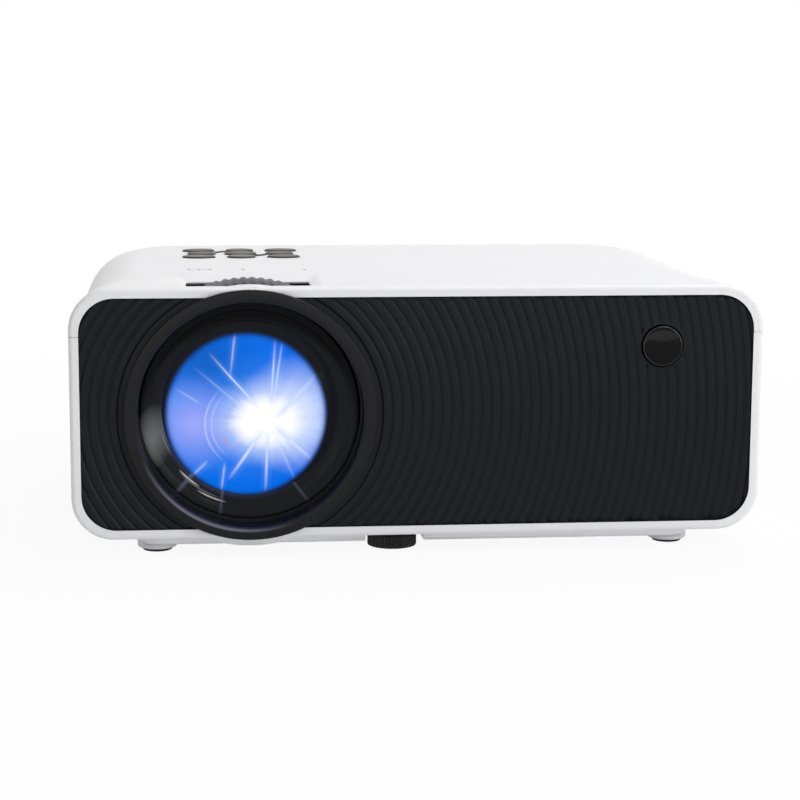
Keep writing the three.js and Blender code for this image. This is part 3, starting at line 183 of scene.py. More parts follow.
def stack(name, rings, smooth_deg=35.0, closed=False):
    """A skin through rings of as many points each, with flat ends unless it closes on itself."""
    size = len(rings[0])
    points = [p for ring in rings for p in ring]
    faces = []
    rounds = len(rings) if closed else len(rings) - 1
    for level in range(rounds):
        here = level * size
        there = (level + 1) % len(rings) * size
        for i in range(size):
            j = (i + 1) % size
            faces.append((here + i, here + j, there + j, there + i))
    if not closed:
        faces.append(tuple(range(size))[::-1])
        faces.append(tuple(range((len(rings) - 1) * size, len(rings) * size)))
    return make(name, points, faces, smooth_deg)


def oval(a, b, half_a, half_b, steps):
    return [
        (a + half_a * cos(tau * i / steps), b + half_b * sin(tau * i / steps))
        for i in range(steps)
    ]


def rounded(left, right, low, high, radius, steps=12):
    """Outline of a rounded rectangle, anticlockwise from its right side."""
    corners = [
        (right - radius, high - radius),
        (left + radius, high - radius),
        (left + radius, low + radius),
        (right - radius, low + radius),
    ]
    outline = []
    for quarter, (a, b) in enumerate(corners):
        for turn in spread(quarter * pi / 2, (quarter + 1) * pi / 2, steps):
            outline.append((a + radius * cos(turn), b + radius * sin(turn)))
    return outline


def at(axis, along, outline):
    """An outline's points at a place along an axis. On x they are y and z, on y x and z, on z x and y."""
    return [{"x": (along, a, b), "y": (a, along, b), "z": (a, b, along)}[axis] for a, b in outline]


def quarter(steps):
    """How far the points of a quarter round of radius 1 stand inside its two sides."""
    return [(1 - cos(t), 1 - sin(t)) for t in spread(0.0, pi / 2, steps)]


def prism(name, axis, outline, start, end):
    return stack(name, [at(axis, along, outline) for along in (start, end)])


def turned(name, centre, profile, axis="y", steps=128, smooth_deg=35.0):
    """Revolves a closed profile of (radius, place along the axis) round a centre."""
    rings = []
    for i in range(steps):
        a, b = cos(tau * i / steps), sin(tau * i / steps)
        rings.append([
            at(axis, along, [(centre[0] + radius * a, centre[1] + radius * b)])[0]
            for radius, along in profile])
    return stack(name, rings, smooth_deg, closed=True)


def round_profile(points, radius, steps=4):
    """Rounds the corners of a closed profile. radius is a number or one for each corner."""
    count = len(points)
    radii = radius if isinstance(radius, (list, tuple)) else [radius] * count
    result = []
    for i, corner in enumerate(points):
        here = Vector(corner)
        before = Vector(points[i - 1]) - here
        after = Vector(points[(i + 1) % count]) - here
        reach = min(radii[i], before.length / 2, after.length / 2)
        if reach < 1e-6:
            result.append(tuple(here))
            continue
        start, end = here + before.normalized() * reach, here + after.normalized() * reach
        for t in spread(0.0, 1.0, steps):
            result.append(tuple((1 - t) ** 2 * start + 2 * t * (1 - t) * here + t ** 2 * end))
    return result


def band(name, centre, radii, ends, rounds, axis="y", steps=256, round_steps=4):
    """A ring between two radii and two ends, with rounds on its four edges."""
    (inner, outer), (start, end) = radii, ends
    corners = [(inner, start), (outer, start), (outer, end), (inner, end)]
    return turned(name, centre, round_profile(corners, rounds, round_steps), axis, steps)


def join(first, *others):
    """Joins pieces that don't touch into the first one's mesh."""
    work = bmesh.new()
    for piece in (first, *others):
        work.from_mesh(piece.data)
    work.to_mesh(first.data)
    work.free()
    for piece in others:
        bpy.data.objects.remove(piece)
    return first


def combine(piece, tool, operation="DIFFERENCE"):
    """Cuts, joins or intersects a piece with a tool, which is used up."""
    step = piece.modifiers.new("combine", "BOOLEAN")
    step.operation = operation
    step.solver = "EXACT"
    step.object = tool
    graph = bpy.context.evaluated_depsgraph_get()
    mesh = bpy.data.meshes.new_from_object(piece.evaluated_get(graph))
    piece.modifiers.clear()
    piece.data = mesh
    bpy.data.objects.remove(tool)
    return piece


def paint_piece(piece, material):
    piece.data.materials.clear()
    piece.data.materials.append(material)


def finish_piece(piece, material, node=None, body="case"):
    """Gives a piece its material and body, and hides the node that it stands for, if there is one."""
    paint_piece(piece, material)
    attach(piece, body)
    if node:
        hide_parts(node)


# Materials
def linear(colour):
    """A colour given as 0 to 255 values of the screen, as linear values."""
    values = [c / 255 for c in colour]
    return [c / 12.92 if c <= 0.04045 else ((c + 0.055) / 1.055) ** 2.4 for c in values] + [1.0]


class Nodes:
    """Short calls for the nodes of one tree."""

    def __init__(self, tree):
        self.tree = tree

    def node(self, kind, given=None, **settings):
        """A new node, with values or links given for its inputs."""
        node = self.tree.nodes.new(kind)
        for key, value in settings.items():
            setattr(node, key, value)
        for key, value in (given or {}).items():
            self.feed(node.inputs[key], value)
        return node

    def feed(self, socket, value):
        if isinstance(value, bpy.types.NodeSocket):
            self.tree.links.new(value, socket)
        else:
            socket.default_value = value

    def math(self, operation, *values, clamp=False):
        return self.node("ShaderNodeMath", dict(enumerate(values)), operation=operation,
                         use_clamp=clamp).outputs[0]

    def products(self, first, by_first, second, by_second):
        """The sum of two products."""
        return self.math("ADD", *[self.math("MULTIPLY", value, factor)
                                  for value, factor in ((first, by_first), (second, by_second))])

    def length(self, a, b):
        """Length of a line with two sides."""
        return self.math("SQRT", self.products(a, a, b, b))

    def show_white(self, output, under, glow, share):
        """Mixes plain white over a shader for rays that look at it directly, in a mirror or through glass."""
        kinds = self.node("ShaderNodeLightPath").outputs
        seen = kinds["Is Camera Ray"]
        for name in ("Is Glossy Ray", "Is Transmission Ray"):
            seen = self.math("ADD", seen, kinds[name], clamp=True)
        white_light = self.node(glow, {"Color": (1.0, 1.0, 1.0, 1.0), "Strength": 1.0})
        mix = self.node("ShaderNodeMixShader", {
            0: self.math("MULTIPLY", seen, share), 1: under, 2: white_light.outputs[0]})
        self.feed(self.tree.nodes[output].inputs[0], mix.outputs[0])


class Paint(Nodes):
    """A node material with short calls for the nodes that the materials here share."""

    def __init__(self, name):
        self.material = bpy.data.materials.new(name)
        self.material.use_nodes = True
        super().__init__(self.material.node_tree)
        self.surface = self.tree.nodes["Principled BSDF"]
        self.place = self.node("ShaderNodeTexCoord").outputs["Object"]

    def set(self, **values):
        for key, value in values.items():
            self.feed(self.surface.inputs[key.replace("_", " ")], value)
        return self.material

    def axes(self):
        """x, y and z in millimetres, in the frame."""
        split = self.node("ShaderNodeSeparateXYZ", {0: self.place})
        return [self.math("MULTIPLY", out, 1 / MM) for out in split.outputs]

    def noise(self, size_mm, detail=3.0, place=None, roughness=0.55):
        return self.node("ShaderNodeTexNoise", {
            "Vector": place or self.place, "Scale": 1 / (size_mm * MM),
            "Detail": detail, "Roughness": roughness}).outputs["Fac"]

    def ramp(self, value, low, high, to_low=0.0, to_high=1.0):
        return self.node("ShaderNodeMapRange", {
            "Value": value, "From Min": low, "From Max": high,
            "To Min": to_low, "To Max": to_high}).outputs[0]

    def mix(self, share, first, second, blend="MIX"):
        return self.node("ShaderNodeMix", {"Factor": share, 6: first, 7: second},
                         data_type="RGBA", blend_type=blend).outputs[2]

    def bump(self, height, depth_mm):
        return self.node("ShaderNodeBump", {
            "Height": height, "Distance": depth_mm * MM, "Strength": 1.0}).outputs[0]


def shade(colour, factor):
    return [min(c * factor, 1.0) for c in colour[:3]] + [1.0]


def moulded(name, colour, rough, grain, depth, mottle, level=0.5, spread_rough=0.08, paint=None):
    """Moulded plastic: a fine spark-eroded grain, with slow changes of tone and gloss."""
    paint = paint or Paint(name)
    base = linear(colour)
    tone = paint.noise(28.0, 2.0)
    fine = paint.noise(grain, 2.0)
    speckle = paint.noise(grain * 3.1, 1.0)
    body = paint.mix(paint.ramp(tone, 0.3, 0.7), shade(base, 1 - mottle), shade(base, 1 + mottle))
    body = paint.mix(paint.ramp(speckle, 0.45, 0.75, 0.0, 0.35), body, shade(base, 1 - 2 * mottle))
    gloss = paint.ramp(paint.noise(9.0, 3.0), 0.25, 0.75, rough - spread_rough, rough + spread_rough)
    return paint.set(Base_Color=body, Roughness=gloss, Normal=paint.bump(fine, depth),
                     Specular_IOR_Level=level)


def metal(name, colour, rough):
    """Metal with fine lines across one direction."""
    paint = Paint(name)
    base = linear(colour)
    stretched = paint.node("ShaderNodeMapping", {"Vector": paint.place, "Scale": (1.0, 1.0, 14.0)})
    lines = paint.noise(7.0, 4.0, stretched.outputs[0])
    stain = paint.noise(6.0, 3.0)
    body = paint.mix(paint.ramp(stain, 0.3, 0.7), shade(base, 0.86), base)
    body = paint.mix(paint.ramp(lines, 0.35, 0.65, 0.0, 0.4), body, shade(base, 0.75))
    gloss = paint.ramp(lines, 0.3, 0.7, rough - 0.08, rough + 0.1)
    return paint.set(Base_Color=body, Roughness=gloss, Metallic=1.0, Normal=paint.bump(lines, 0.01))


def board_material(name, board_top):
    """Solder mask with tracks and gold pads, and dark parts standing on it."""
    paint = Paint(name)
    cells = paint.node("ShaderNodeTexBrick", {
        "Vector": paint.place, "Scale": 120.0, "Mortar Size": 0.06, "Color1": linear((22, 92, 52)),
        "Color2": linear((18, 80, 46)), "Mortar": linear((52, 126, 70))}, offset=0.37, squash=0.6)
    dots = paint.node("ShaderNodeTexVoronoi", {"Vector": paint.place, "Scale": 420.0}, feature="F1")
    pad = paint.ramp(dots.outputs["Distance"], 0.16, 0.2, 1.0, 0.0)
    mask = paint.mix(pad, cells.outputs["Color"], linear((198, 172, 110)))
    grime = paint.noise(3.0, 3.0)
    parts = paint.mix(paint.ramp(grime, 0.4, 0.6), linear((26, 26, 28)), linear((44, 45, 48)))
    above = paint.ramp(paint.axes()[2], board_top + 0.02, board_top + 0.06)
    return paint.set(Base_Color=paint.mix(above, mask, parts), Normal=paint.bump(grime, 0.03),
                     Roughness=paint.ramp(grime, 0.3, 0.7, 0.35, 0.55))


def clear(name, tint):
    paint = Paint(name)
    base = linear(tint)
    smear = paint.noise(11.0, 3.0)
    return paint.set(Base_Color=paint.mix(smear, base, shade(base, 0.94)), Transmission_Weight=0.92,
                     IOR=1.49, Roughness=paint.ramp(smear, 0.3, 0.7, 0.03, 0.07))


# Colour, roughness, size of the grain, depth of its bump, mottle and specular level of each plastic
white = moulded("white_shell", (242, 242, 244), 0.46, 0.3, 0.006, 0.008)
panel_black = moulded("panel_black", (22, 24, 27), 0.36, 0.22, 0.004, 0.06, 0.11)
inner_black = moulded("inner_black", (22, 22, 24), 0.5, 0.5, 0.01, 0.08, 0.15)
knurl_grey = moulded("knurl_grey", (33, 32, 36), 0.45, 0.3, 0.01, 0.07, 0.2)
key_grey = moulded("key_grey", (76, 74, 70), 0.44, 0.25, 0.006, 0.03, 0.27)
arc_grey = moulded("arc_grey", (66, 65, 62), 0.5, 0.25, 0.006, 0.04, 0.2)
print_grey = moulded("print_grey", (150, 150, 152), 0.5, 0.2, 0.001, 0.05)
fan_grey = moulded("fan_grey", (40, 41, 43), 0.38, 0.6, 0.006, 0.05, 0.25)
foot_black = moulded("foot_black", (32, 32, 34), 0.5, 0.4, 0.01, 0.08, 0.2)
housing_black = moulded("housing_black", (26, 27, 29), 0.55, 0.7, 0.02, 0.08, 0.2)
window_black = moulded("window_gloss", (6, 6, 8), 0.09, 1.2, 0.0005, 0.2, 0.11, spread_rough=0.03)
window_edge = moulded("window_edge", (8, 8, 10), 0.16, 1.2, 0.0005, 0.2, 0.42, spread_rough=0.03)
rubber = moulded("rubber", (48, 47, 44), 0.82, 0.45, 0.05, 0.12, 0.2)
flex = moulded("flex", (176, 106, 32), 0.4, 1.4, 0.004, 0.08)
aluminium = metal("aluminium", (196, 198, 202), 0.36)
steel = metal("steel", (178, 180, 184), 0.3)
brass = metal("brass", (196, 160, 92), 0.32)
lens_clear = clear("lens_clear", (214, 228, 240))


# The lit picture that the lens shows, painted as a glow on the front glass, in millimetres from the lens axis
lit_centre = (-0.95, -1.1)
lit_radius = 23.6
hot_spot = (5.1, -2.8)
picture_shift = (-0.12, -0.7)
# Start, end, half width and strength of each streak of light
streaks = [
    (6.0, 1.0, 7.7, 22.0, 0.5, 0.75), (6.6, 1.0, 9.9, 22.0, 0.45, 0.65),
    (3.0, 1.0, -11.9, 17.6, 0.42, 0.85), (0.0, 0.0, -16.4, 13.5, 0.45, 0.3),
    (-14.1, 2.6, -21.8, 7.1, 0.5, 0.3), (-3.9, 24.0, -5.7, 8.9, 0.5, 0.45),
    (7.0, -2.0, 20.4, 11.6, 0.5, 0.75), (8.0, -2.0, 19.2, 9.4, 0.4, 0.5),
    (7.0, -4.0, 18.8, -15.3, 0.7, 0.95), (6.4, -5.0, 14.5, -23.5, 0.5, 0.3),
    (5.3, -5.0, 4.5, -25.2, 0.6, 0.75), (4.0, -5.0, -6.4, -20.4, 0.7, 0.95),
    (-12.0, -14.2, -19.0, -21.4, 0.7, 0.4), (-7.2, -14.5, -8.6, -26.0, 0.5, 0.45),
]
# Faint ends of the same streaks, on the cone round the glass
cone_streaks = [
    (-14.0, -16.5, -23.0, -25.4, 1.0, 0.45), (-7.6, -20.0, -9.2, -33.0, 0.7, 0.3),
    (11.0, -20.0, 18.0, -28.5, 0.7, 0.25),
]
# Centre of the painted arcs of light on the glass, and radius, lowest and highest turn from the left, colour
# and strength of each
arc_centre = (0.8, -3.5)
arcs = [
    (13.7, -0.96, 0.87, (206, 214, 255), 0.6), (11.9, -0.96, 0.87, (196, 208, 255), 0.5),
    (9.3, -0.87, -0.28, (214, 132, 170), 0.6),
]
# Arcs of light on the cone, and middle of the part of the cone that isn't in shadow
cone_arcs = [
    (28.3, -1.32, -0.98, (206, 198, 192), 0.85), (27.6, -1.26, -0.7, (120, 120, 124), 0.7),
    (27.1, -1.0, -0.7, (220, 222, 226), 0.8), (26.4, -0.55, -0.2, (128, 130, 134), 0.5),
]
cone_middle = (0.0, -3.5)
# Each soft patch of light or shade: its place, how much wider than high it is, where it starts to fade
# and where it ends, its strength at the middle and the curve of its fading
upper_shade = dict(x=-13.0, z=15.0, wide=1.4, full=2.0, reach=13.0, share=0.75)
lilac_glow = dict(x=-16.0, z=-3.6, wide=1.1, full=0.5, reach=14.5, curve=1.25)
haze_patch = dict(x=13.2, z=-1.2, full=4.0, reach=18.0)
cone_reflection = dict(x=-27.6, z=-7.5, wide=0.55, full=1.5, reach=9.5, share=0.85)
ring_highlight = dict(x=-13.0, z=-30.0, full=8.0, reach=25.0, share=0.85)
# Radius of the bright core between its rays and at them, and how much wider than high it is
core_low, core_high, core_wide = 4.6, 5.8, 1.35
# Radius at which the trim ring catches light
ring_glow_radius = 33.3
nothing = (0.0, 0.0, 0.0, 1.0)


class LensPaint(Paint):
    """Paint with places in millimetres from the lens axis."""

    def __init__(self, name, shift=(0.0, 0.0)):
        super().__init__(name)
        x, y, z = self.axes()
        self.x = self.math("SUBTRACT", x, lens_x + shift[0])
        self.z = self.math("SUBTRACT", z, lens_z + shift[1])

    def from_point(self, x, z):
        return self.math("SUBTRACT", self.x, x), self.math("SUBTRACT", self.z, z)

    def away(self, x, z, wide=1.0):
        """Distance from a point, with the sides counted for less when wide is over 1."""
        dx, dz = self.from_point(x, z)
        return self.length(self.math("DIVIDE", dx, wide), dz)

    def patch(self, x, z, full, reach, wide=1.0, share=1.0, curve=1.0):
        """Strength of a soft patch that fades from full to reach millimetres from its middle."""
        fading = self.ramp(self.away(x, z, wide), full, reach, share, 0.0)
        return fading if curve == 1.0 else self.math("POWER", fading, curve)

    def beside(self, value, other):
        """How far a value is from another, on either side."""
        return self.math("ABSOLUTE", self.math("SUBTRACT", value, other))

    def light(self, lines, spread_by=1.0, share=1.0):
        """Strength of the light of streaks, brightest near their start."""
        total = 0.0
        for x0, z0, x1, z1, wide, power in lines:
            length = hypot(x1 - x0, z1 - z0)
            step_x, step_z = (x1 - x0) / length, (z1 - z0) / length
            dx, dz = self.from_point(x0, z0)
            along = self.products(dx, step_x, dz, step_z)
            across = self.math("ABSOLUTE", self.products(dx, -step_z, dz, step_x))
            line = self.ramp(across, 0.0, wide * spread_by, power * share, 0.0)
            run = self.math("MULTIPLY", self.ramp(along, 0.0, length * 0.2),
                            self.ramp(along, length * 0.55, length, 1.0, 0.0))
            total = self.math("ADD", self.math("MULTIPLY", line, run), total)
        return self.math("MINIMUM", total, 0.95)

    def with_arcs(self, body, centre, bands, half_width=0.42):
        """A colour with thin arcs of light laid over it."""
        away = self.away(*centre)
        x, z = self.from_point(*centre)
        turn = self.math("ARCTAN2", z, self.math("MULTIPLY", x, -1.0))
        for radius, low, high, colour, power in bands:
            band = self.ramp(self.beside(away, radius), 0.0, half_width, power, 0.0)
            fade = (high - low) * 0.3
            inside = self.math("MULTIPLY", self.ramp(turn, low, low + fade),
                               self.ramp(turn, high - fade, high, 1.0, 0.0))
            body = self.mix(self.math("MULTIPLY", band, inside), body, linear(colour))
        return body


def lit_glass():
    """Coated front glass on which the lit picture of the lamp and panel that the lens shows is painted as a
    glow, with painted highlights, streaks, arcs and painted shade.
    """
    paint = LensPaint("lit_glass", picture_shift)
    disc = paint.away(*lit_centre, 0.975)
    # Painted glow: the lit picture is emission. It is paler near its middle line and deeper blue above and
    # below, with painted shade at the upper left and a paler lilac patch on the left
    height = paint.ramp(paint.beside(paint.z, lit_centre[1]), 3.0, 19.0)
    body = paint.mix(height, linear((58, 138, 244)), linear((4, 108, 232)))
    body = paint.mix(paint.patch(**upper_shade), body, linear((6, 92, 190)))
    body = paint.mix(paint.patch(**lilac_glow), body, linear((160, 168, 250)))

    # Bright core with streaks that spread from it
    dx, dz = paint.from_point(*hot_spot)
    way = paint.node("ShaderNodeCombineXYZ", {0: dx, 2: dz})
    turn = paint.node("ShaderNodeVectorMath", {0: way.outputs[0]}, operation="NORMALIZE")
    stripes = paint.ramp(paint.noise(210.0, 5.0, turn.outputs[0], 0.7), 0.3, 0.7)
    haze = paint.math("MULTIPLY", paint.patch(**haze_patch), paint.ramp(stripes, 0.0, 1.0, 0.8, 1.0))
    body = paint.mix(paint.math("POWER", haze, 1.2), body, linear((214, 225, 255)))
    past = paint.math("SUBTRACT", paint.away(*hot_spot, core_wide),
                      paint.ramp(stripes, 0.0, 1.0, core_low, core_high))
    glow = paint.math("POWER", paint.ramp(past, 0.0, 9.5, 1.0, 0.0), 1.6)
    body = paint.mix(glow, body, linear((222, 232, 255)))
    body = paint.mix(paint.ramp(past, 0.0, 3.4, 1.0, 0.0), body, (1.0, 1.0, 1.0, 1.0))
    body = paint.mix(paint.light(streaks, 3.2, 0.3), body, linear((150, 190, 255)))
    body = paint.mix(paint.light(streaks), body, linear((214, 228, 255)))
    # Painted highlights: thin arcs of light
    body = paint.with_arcs(body, arc_centre, arcs)
    # Painted shade: the lit disc darkens towards its rim
    edge = paint.ramp(disc, lit_radius - 2.0, lit_radius + 0.8)
    body = paint.mix(paint.math("POWER", edge, 1.8), body, linear((4, 60, 140)))
    # Outside the lit disc the glass glows a faint dark grey, a painted sheen
    lit = paint.ramp(disc, lit_radius - 0.6, lit_radius + 1.0, 1.0, 0.0)
    smear = paint.noise(9.0, 2.0)
    return paint.set(
        Base_Color=(0.003, 0.003, 0.005, 1.0), Roughness=paint.ramp(smear, 0.3, 0.7, 0.04, 0.08),
        Emission_Color=paint.mix(lit, linear((21, 22, 26)), body), Emission_Strength=1.0,
        Specular_IOR_Level=0.04)


def lens_cone():
    """Glossy black cone with painted light as a glow: a painted sheen and shade, a painted reflection,
    painted highlights, and the ends of the lens's streaks of light.
    """
    paint = LensPaint("lens_cone")
    smear = paint.noise(7.0, 3.0)
    fine = paint.noise(0.5, 2.0)
    # Painted sheen and shade: the cone glows dark grey, and near black over its outer part, mostly at the top
    unshaded_part = paint.ramp(paint.away(*cone_middle, 1.05), 28.4, 30.4, 1.0, 0.0)
    glow = paint.mix(unshaded_part, linear((2, 2, 3)), linear((21, 22, 25)))
    # Painted reflection: a grey patch on the left, broken up by the smear noise
    left = paint.math("MULTIPLY", paint.patch(**cone_reflection), paint.ramp(smear, 0.3, 0.7, 0.7, 1.0))
    glow = paint.mix(left, glow, linear((108, 111, 113)))
    # Painted highlights: thin arcs of light and the faint ends of the lens's streaks
    glow = paint.with_arcs(glow, (0.0, 0.0), cone_arcs, 0.3)
    glow = paint.mix(paint.light(cone_streaks), glow, linear((104, 114, 136)))
    # Painted glow: blue light from the lit picture spills onto the cone round the glass
    spill = paint.patch(*lit_centre, lit_radius + 0.8, lit_radius + 2.6, curve=2.0)
    glow = paint.mix(spill, glow, linear((22, 34, 62)), "ADD")
    return paint.set(
        Base_Color=paint.mix(paint.ramp(smear, 0.3, 0.7), linear((7, 7, 9)), linear((11, 11, 13))),
        Roughness=paint.ramp(smear, 0.25, 0.75, 0.15, 0.24), Normal=paint.bump(fine, 0.001),
        Emission_Color=glow, Emission_Strength=1.0, Specular_IOR_Level=0.05)


def lens_ring_paint():
    """Satin black plastic with a painted highlight: the lens's light caught on its inner edge at the lower
    left, as a glow.
    """
    paint = LensPaint("ring_black")
    moulded("ring_black", (20, 20, 24), 0.27, 0.25, 0.002, 0.06, 0.16, paint=paint)
    # Painted highlight: a lilac glow on the inner edge, at the lower left
    edge = paint.ramp(paint.beside(paint.away(0.0, 0.0), ring_glow_radius), 0.15, 0.6, 1.0, 0.0)
    caught = paint.math("MULTIPLY", edge, paint.patch(**ring_highlight))
    return paint.set(Emission_Color=paint.mix(caught, nothing, linear((104, 102, 122))),
                     Emission_Strength=1.0)


glass_lit = lit_glass()
cone_lit = lens_cone()
ring_black = lens_ring_paint()


# Shell
def eased_half(half, radius, y, inset):
    """Half of the shell's width or height at a depth, drawn in by the round at the rear."""
    radius = max(radius - inset, 0.0)
    past = min(max(y - (body_depth - inset - radius), 0.0), radius)
    return half - inset - radius + sqrt(radius ** 2 - past ** 2)


def smoothstep(value, start, end):
    t = min(max((value - start) / (end - start), 0.0), 1.0)
    return t * t * (3 - 2 * t)


def shell_size(y, inset=0.0):
    """Half width, half height and corner radius of the shell at a depth."""
    rest = max(rim_ease - y, 0.0)
    ease = rim_ease - sqrt(rim_ease ** 2 - rest ** 2)
    corner = front_corner + (body_corner - front_corner) * smoothstep(y, 0.0, corner_run)
    return (
        eased_half(half_width, rear_corner, y, inset) - ease,
        eased_half(half_height, rear_ease, y, inset) - ease,
        corner - inset - ease,
    )


def shell_ring(y, inset=0.0):
    wide, high, corner = shell_size(y, inset)
    return at("y", y, rounded(-wide, wide, mid_z - high, mid_z + high, corner, 14))


def shell_levels(start, inset=0.0):
    levels = [rim_ease * wide for wide, short in quarter(5)]
    levels += [4.0, 7.0, 10.0, 13.5, 17.0, 21.0, 26.0, 32.0, 40.0, 60.0, 80.0, 100.0]
    for radius, steps in ((rear_corner, 16), (rear_ease, 8)):
        levels += [
            body_depth - radius + (radius - inset) * sin(t) for t in spread(0.0, pi / 2, steps)
        ]
    levels = sorted({round(y, 4) for y in levels if y > start + 0.01})
    return [start] + [y for y, after in zip(levels, levels[1:] + [1e9]) if after - y > 0.02]


def shell_form(name, start, inset):
    return stack(name, [shell_ring(y, inset) for y in shell_levels(start, inset)])


def edge_of_shell(z):
    """Half width of the shell at a height, at each of its levels."""
    result = []
    for y in shell_levels(0.0):
        wide, high, corner = shell_size(y)
        past = max(abs(z - mid_z) - (high - corner), 0.0)
        result.append((wide - corner + sqrt(max(corner ** 2 - past ** 2, 0.0)), y))
    return result


def rim_outline(inset):
    edge = rim_width + inset
    side = half_width - edge
    return rounded(-side, side, body_rise + edge, top_z - edge, rim_corner - inset, 14)


def rear_outline(margin):
    low, high = rear_low.z + rear_margin - margin, rear_high.z - rear_margin + margin
    left, right = rear_low.x + rear_margin - margin, rear_high.x - rear_margin + margin
    return rounded(left, right, low, high, rear_opening_corner + margin, 12)


def flared(name, axis, outline, inner, face, lip, beyond=1.0, steps=4):
    """A cutter with an outline that opens out in a small round at the face it comes through."""
    way = 1 if face > inner else -1
    rings = [at(axis, inner, outline(0.0))]
    rings += [at(axis, face - way * lip * short, outline(lip * wide)) for wide, short in quarter(steps)]
    rings.append(at(axis, face + way * beyond, outline(lip)))
    return stack(name, rings)


def round_hole(axis, centre, radius, inner, face, lip, beyond=1.0, steps=48):
    """A cutter for a round hole, a little wider at the face."""
    return flared("hole", axis, lambda grow: oval(*centre, radius + grow, radius + grow, steps),
                  inner, face, lip, beyond)


def long_hole(axis, sides, ends, corner, inner, face, lip, beyond=1.0, steps=6):
    """A cutter for a rounded rectangle between two pairs of sides, a little wider at the face."""
    return flared(
        "hole", axis,
        lambda grow: rounded(sides[0] - grow, sides[1] + grow, ends[0] - grow, ends[1] + grow,
                             corner + grow, steps),
        inner, face, lip, beyond)


def slab(name, axis, left, right, low, high, start, end, radius, steps=4):
    return prism(name, axis, rounded(left, right, low, high, radius, steps), start, end)


def layer(low, high):
    """A wide block that holds all that lies between two heights."""
    return slab("layer", "z", -far, far, -far, far, low, high, 1.0)


def cylinder(axis, centre, radius, start, end, steps):
    return prism("cylinder", axis, oval(*centre, radius, radius, steps), start, end)


def seam_groove():
    """A small groove with sloping sides that runs round the shell at the seam."""
    path = edge_of_shell(seam_z)
    path += [(-x, y) for x, y in reversed(path)]
    rings = []
    for i, (x, y) in enumerate(path):
        before, after = path[i - 1], path[(i + 1) % len(path)]
        along = Vector((after[0] - before[0], after[1] - before[1])).normalized()
        out = Vector((along.y, -along.x))
        side = Vector((after[0] - x, after[1] - y)).orthogonal().normalized()
        out = out / max(abs(out.dot(side)), 0.7)
        rings.append([(x + out.x * d, y + out.y * d, seam_z + z) for d, z in seam_section])
    return stack("groove", rings, closed=True)


def bare_shell(name):
    shell = shell_form(name, 0.0, 0.0)
    combine(shell, shell_form("hollow", rim_depth, wall))
    combine(shell, flared("rim", "y", rim_outline, rim_depth + 1, 0.0, 0.35))
    combine(shell, flared("rear", "y", rear_outline, body_depth - wall - 1, body_depth, 0.3))
    return combine(shell, cylinder("y", lens_axis, spigot_radius, -1, bay_front + 1, 128))


# Keys, screws and supports
far = 400.0
key_nodes = ["power", "up", "source", "left", "ok", "right", "back", "down", "menu"]
key_flange = 0.9
key_room = 0.35
key_dish = 0.06
ceiling_z = top_z - wall
floor_z = body_rise + wall
screw_places = [middle(f"case_screw_{i}", "xy") for i in (1, 2, 3, 4)]
boss_joint = 30.0
boss_radius = 3.7
post_radius, thin_post_radius = 2.5, 2.0
screw_bore = 1.6
screw_bore_top = 45.0
head_radius, head_seat = 2.7, 10.1
shank_low = 9.0
board_plate = 1.2
pad_corners = ("front_left", "rear_left", "front_right", "rear_right")


def corners_in(node, inset):
    """Four places inside a node's box, seen from above."""
    low, high = box_mm(node)
    return [(x, y) for x in (low.x + inset, high.x - inset) for y in (low.y + inset, high.y - inset)]


def pillars(spots, radius, start, end, steps=24):
    """An upright cylinder at each spot."""
    return [cylinder("z", spot, radius, start, end, steps) for spot in spots]


def key_shape(name):
    """Middle and half sizes of a key's cap."""
    low, high = box_mm(f"key_{name}")
    x, y = middle(f"key_{name}", "xy")
    return x, y, (high.x - low.x) / 2 - key_flange, (high.y - low.y) / 2 - key_flange


def build_top_cover():
    cover = bare_shell("cover_top")
    combine(cover, layer(seam_z + seam_gap / 2, far), "INTERSECT")
    combine(cover, seam_groove())
    under = top_z - wall / 2
    board_top = box_mm("key_board")[0].z + board_plate
    supports = join(
        slab("pad", "z", lens_x - recess_half, lens_x + recess_half, slot_front, recess_rear,
             ceiling_z - 0.4, under, 1.5),
        *pillars(screw_places, boss_radius, boss_joint + gap, under, 32),
        *pillars(corners_in("key_board", 2), thin_post_radius, board_top + gap, under))
    combine(supports, shell_form("limit", 0.0, wall / 2), "INTERSECT")
    combine(cover, supports, "UNION")

    def recess(z):
        """Outline of the recess at a height: its rear and its sides slope, its front is upright."""
        t = (top_z - z) / recess_depth
        side = recess_half + (slot_half - recess_half) * t
        rear = recess_rear + (slot_rear - recess_rear) * t
        return rounded(lens_x - side, lens_x + side, slot_front, rear, 1.0, 4)

    heights = (top_z - recess_depth, top_z - recess_depth / 2, top_z, top_z + 0.4)
    combine(cover, stack("scoop", [at("z", z, recess(z)) for z in heights]))
    # The rim rises in a low arch over the trim ring, in front of the slot
    arch = band("arch", lens_axis, (arch_radius - arch_depth, arch_radius), (0.5, slot_front + 0.3),
                [0, rim_ease, 0.4, 0], round_steps=6)
    combine(arch, layer(ceiling_z, far), "INTERSECT")
    combine(cover, arch, "UNION")
    cuts = [long_hole("z", (lens_x - slot_half, lens_x + slot_half), (slot_front, slot_rear), 0.8,
                      ceiling_z - 2, top_z - recess_depth, 0.25, beyond=4.0, steps=4)]
    for name in key_nodes:
        x, y, half_x, half_y = key_shape(name)
        cuts.append(flared(
            "hole", "z",
            lambda grow: oval(x, y, half_x + key_room + grow, half_y + key_room + grow, 64),
            ceiling_z - 1, top_z, 0.2))
    return combine(cover, join(*cuts, *pillars(screw_places, screw_bore, boss_joint - 1, screw_bore_top)))


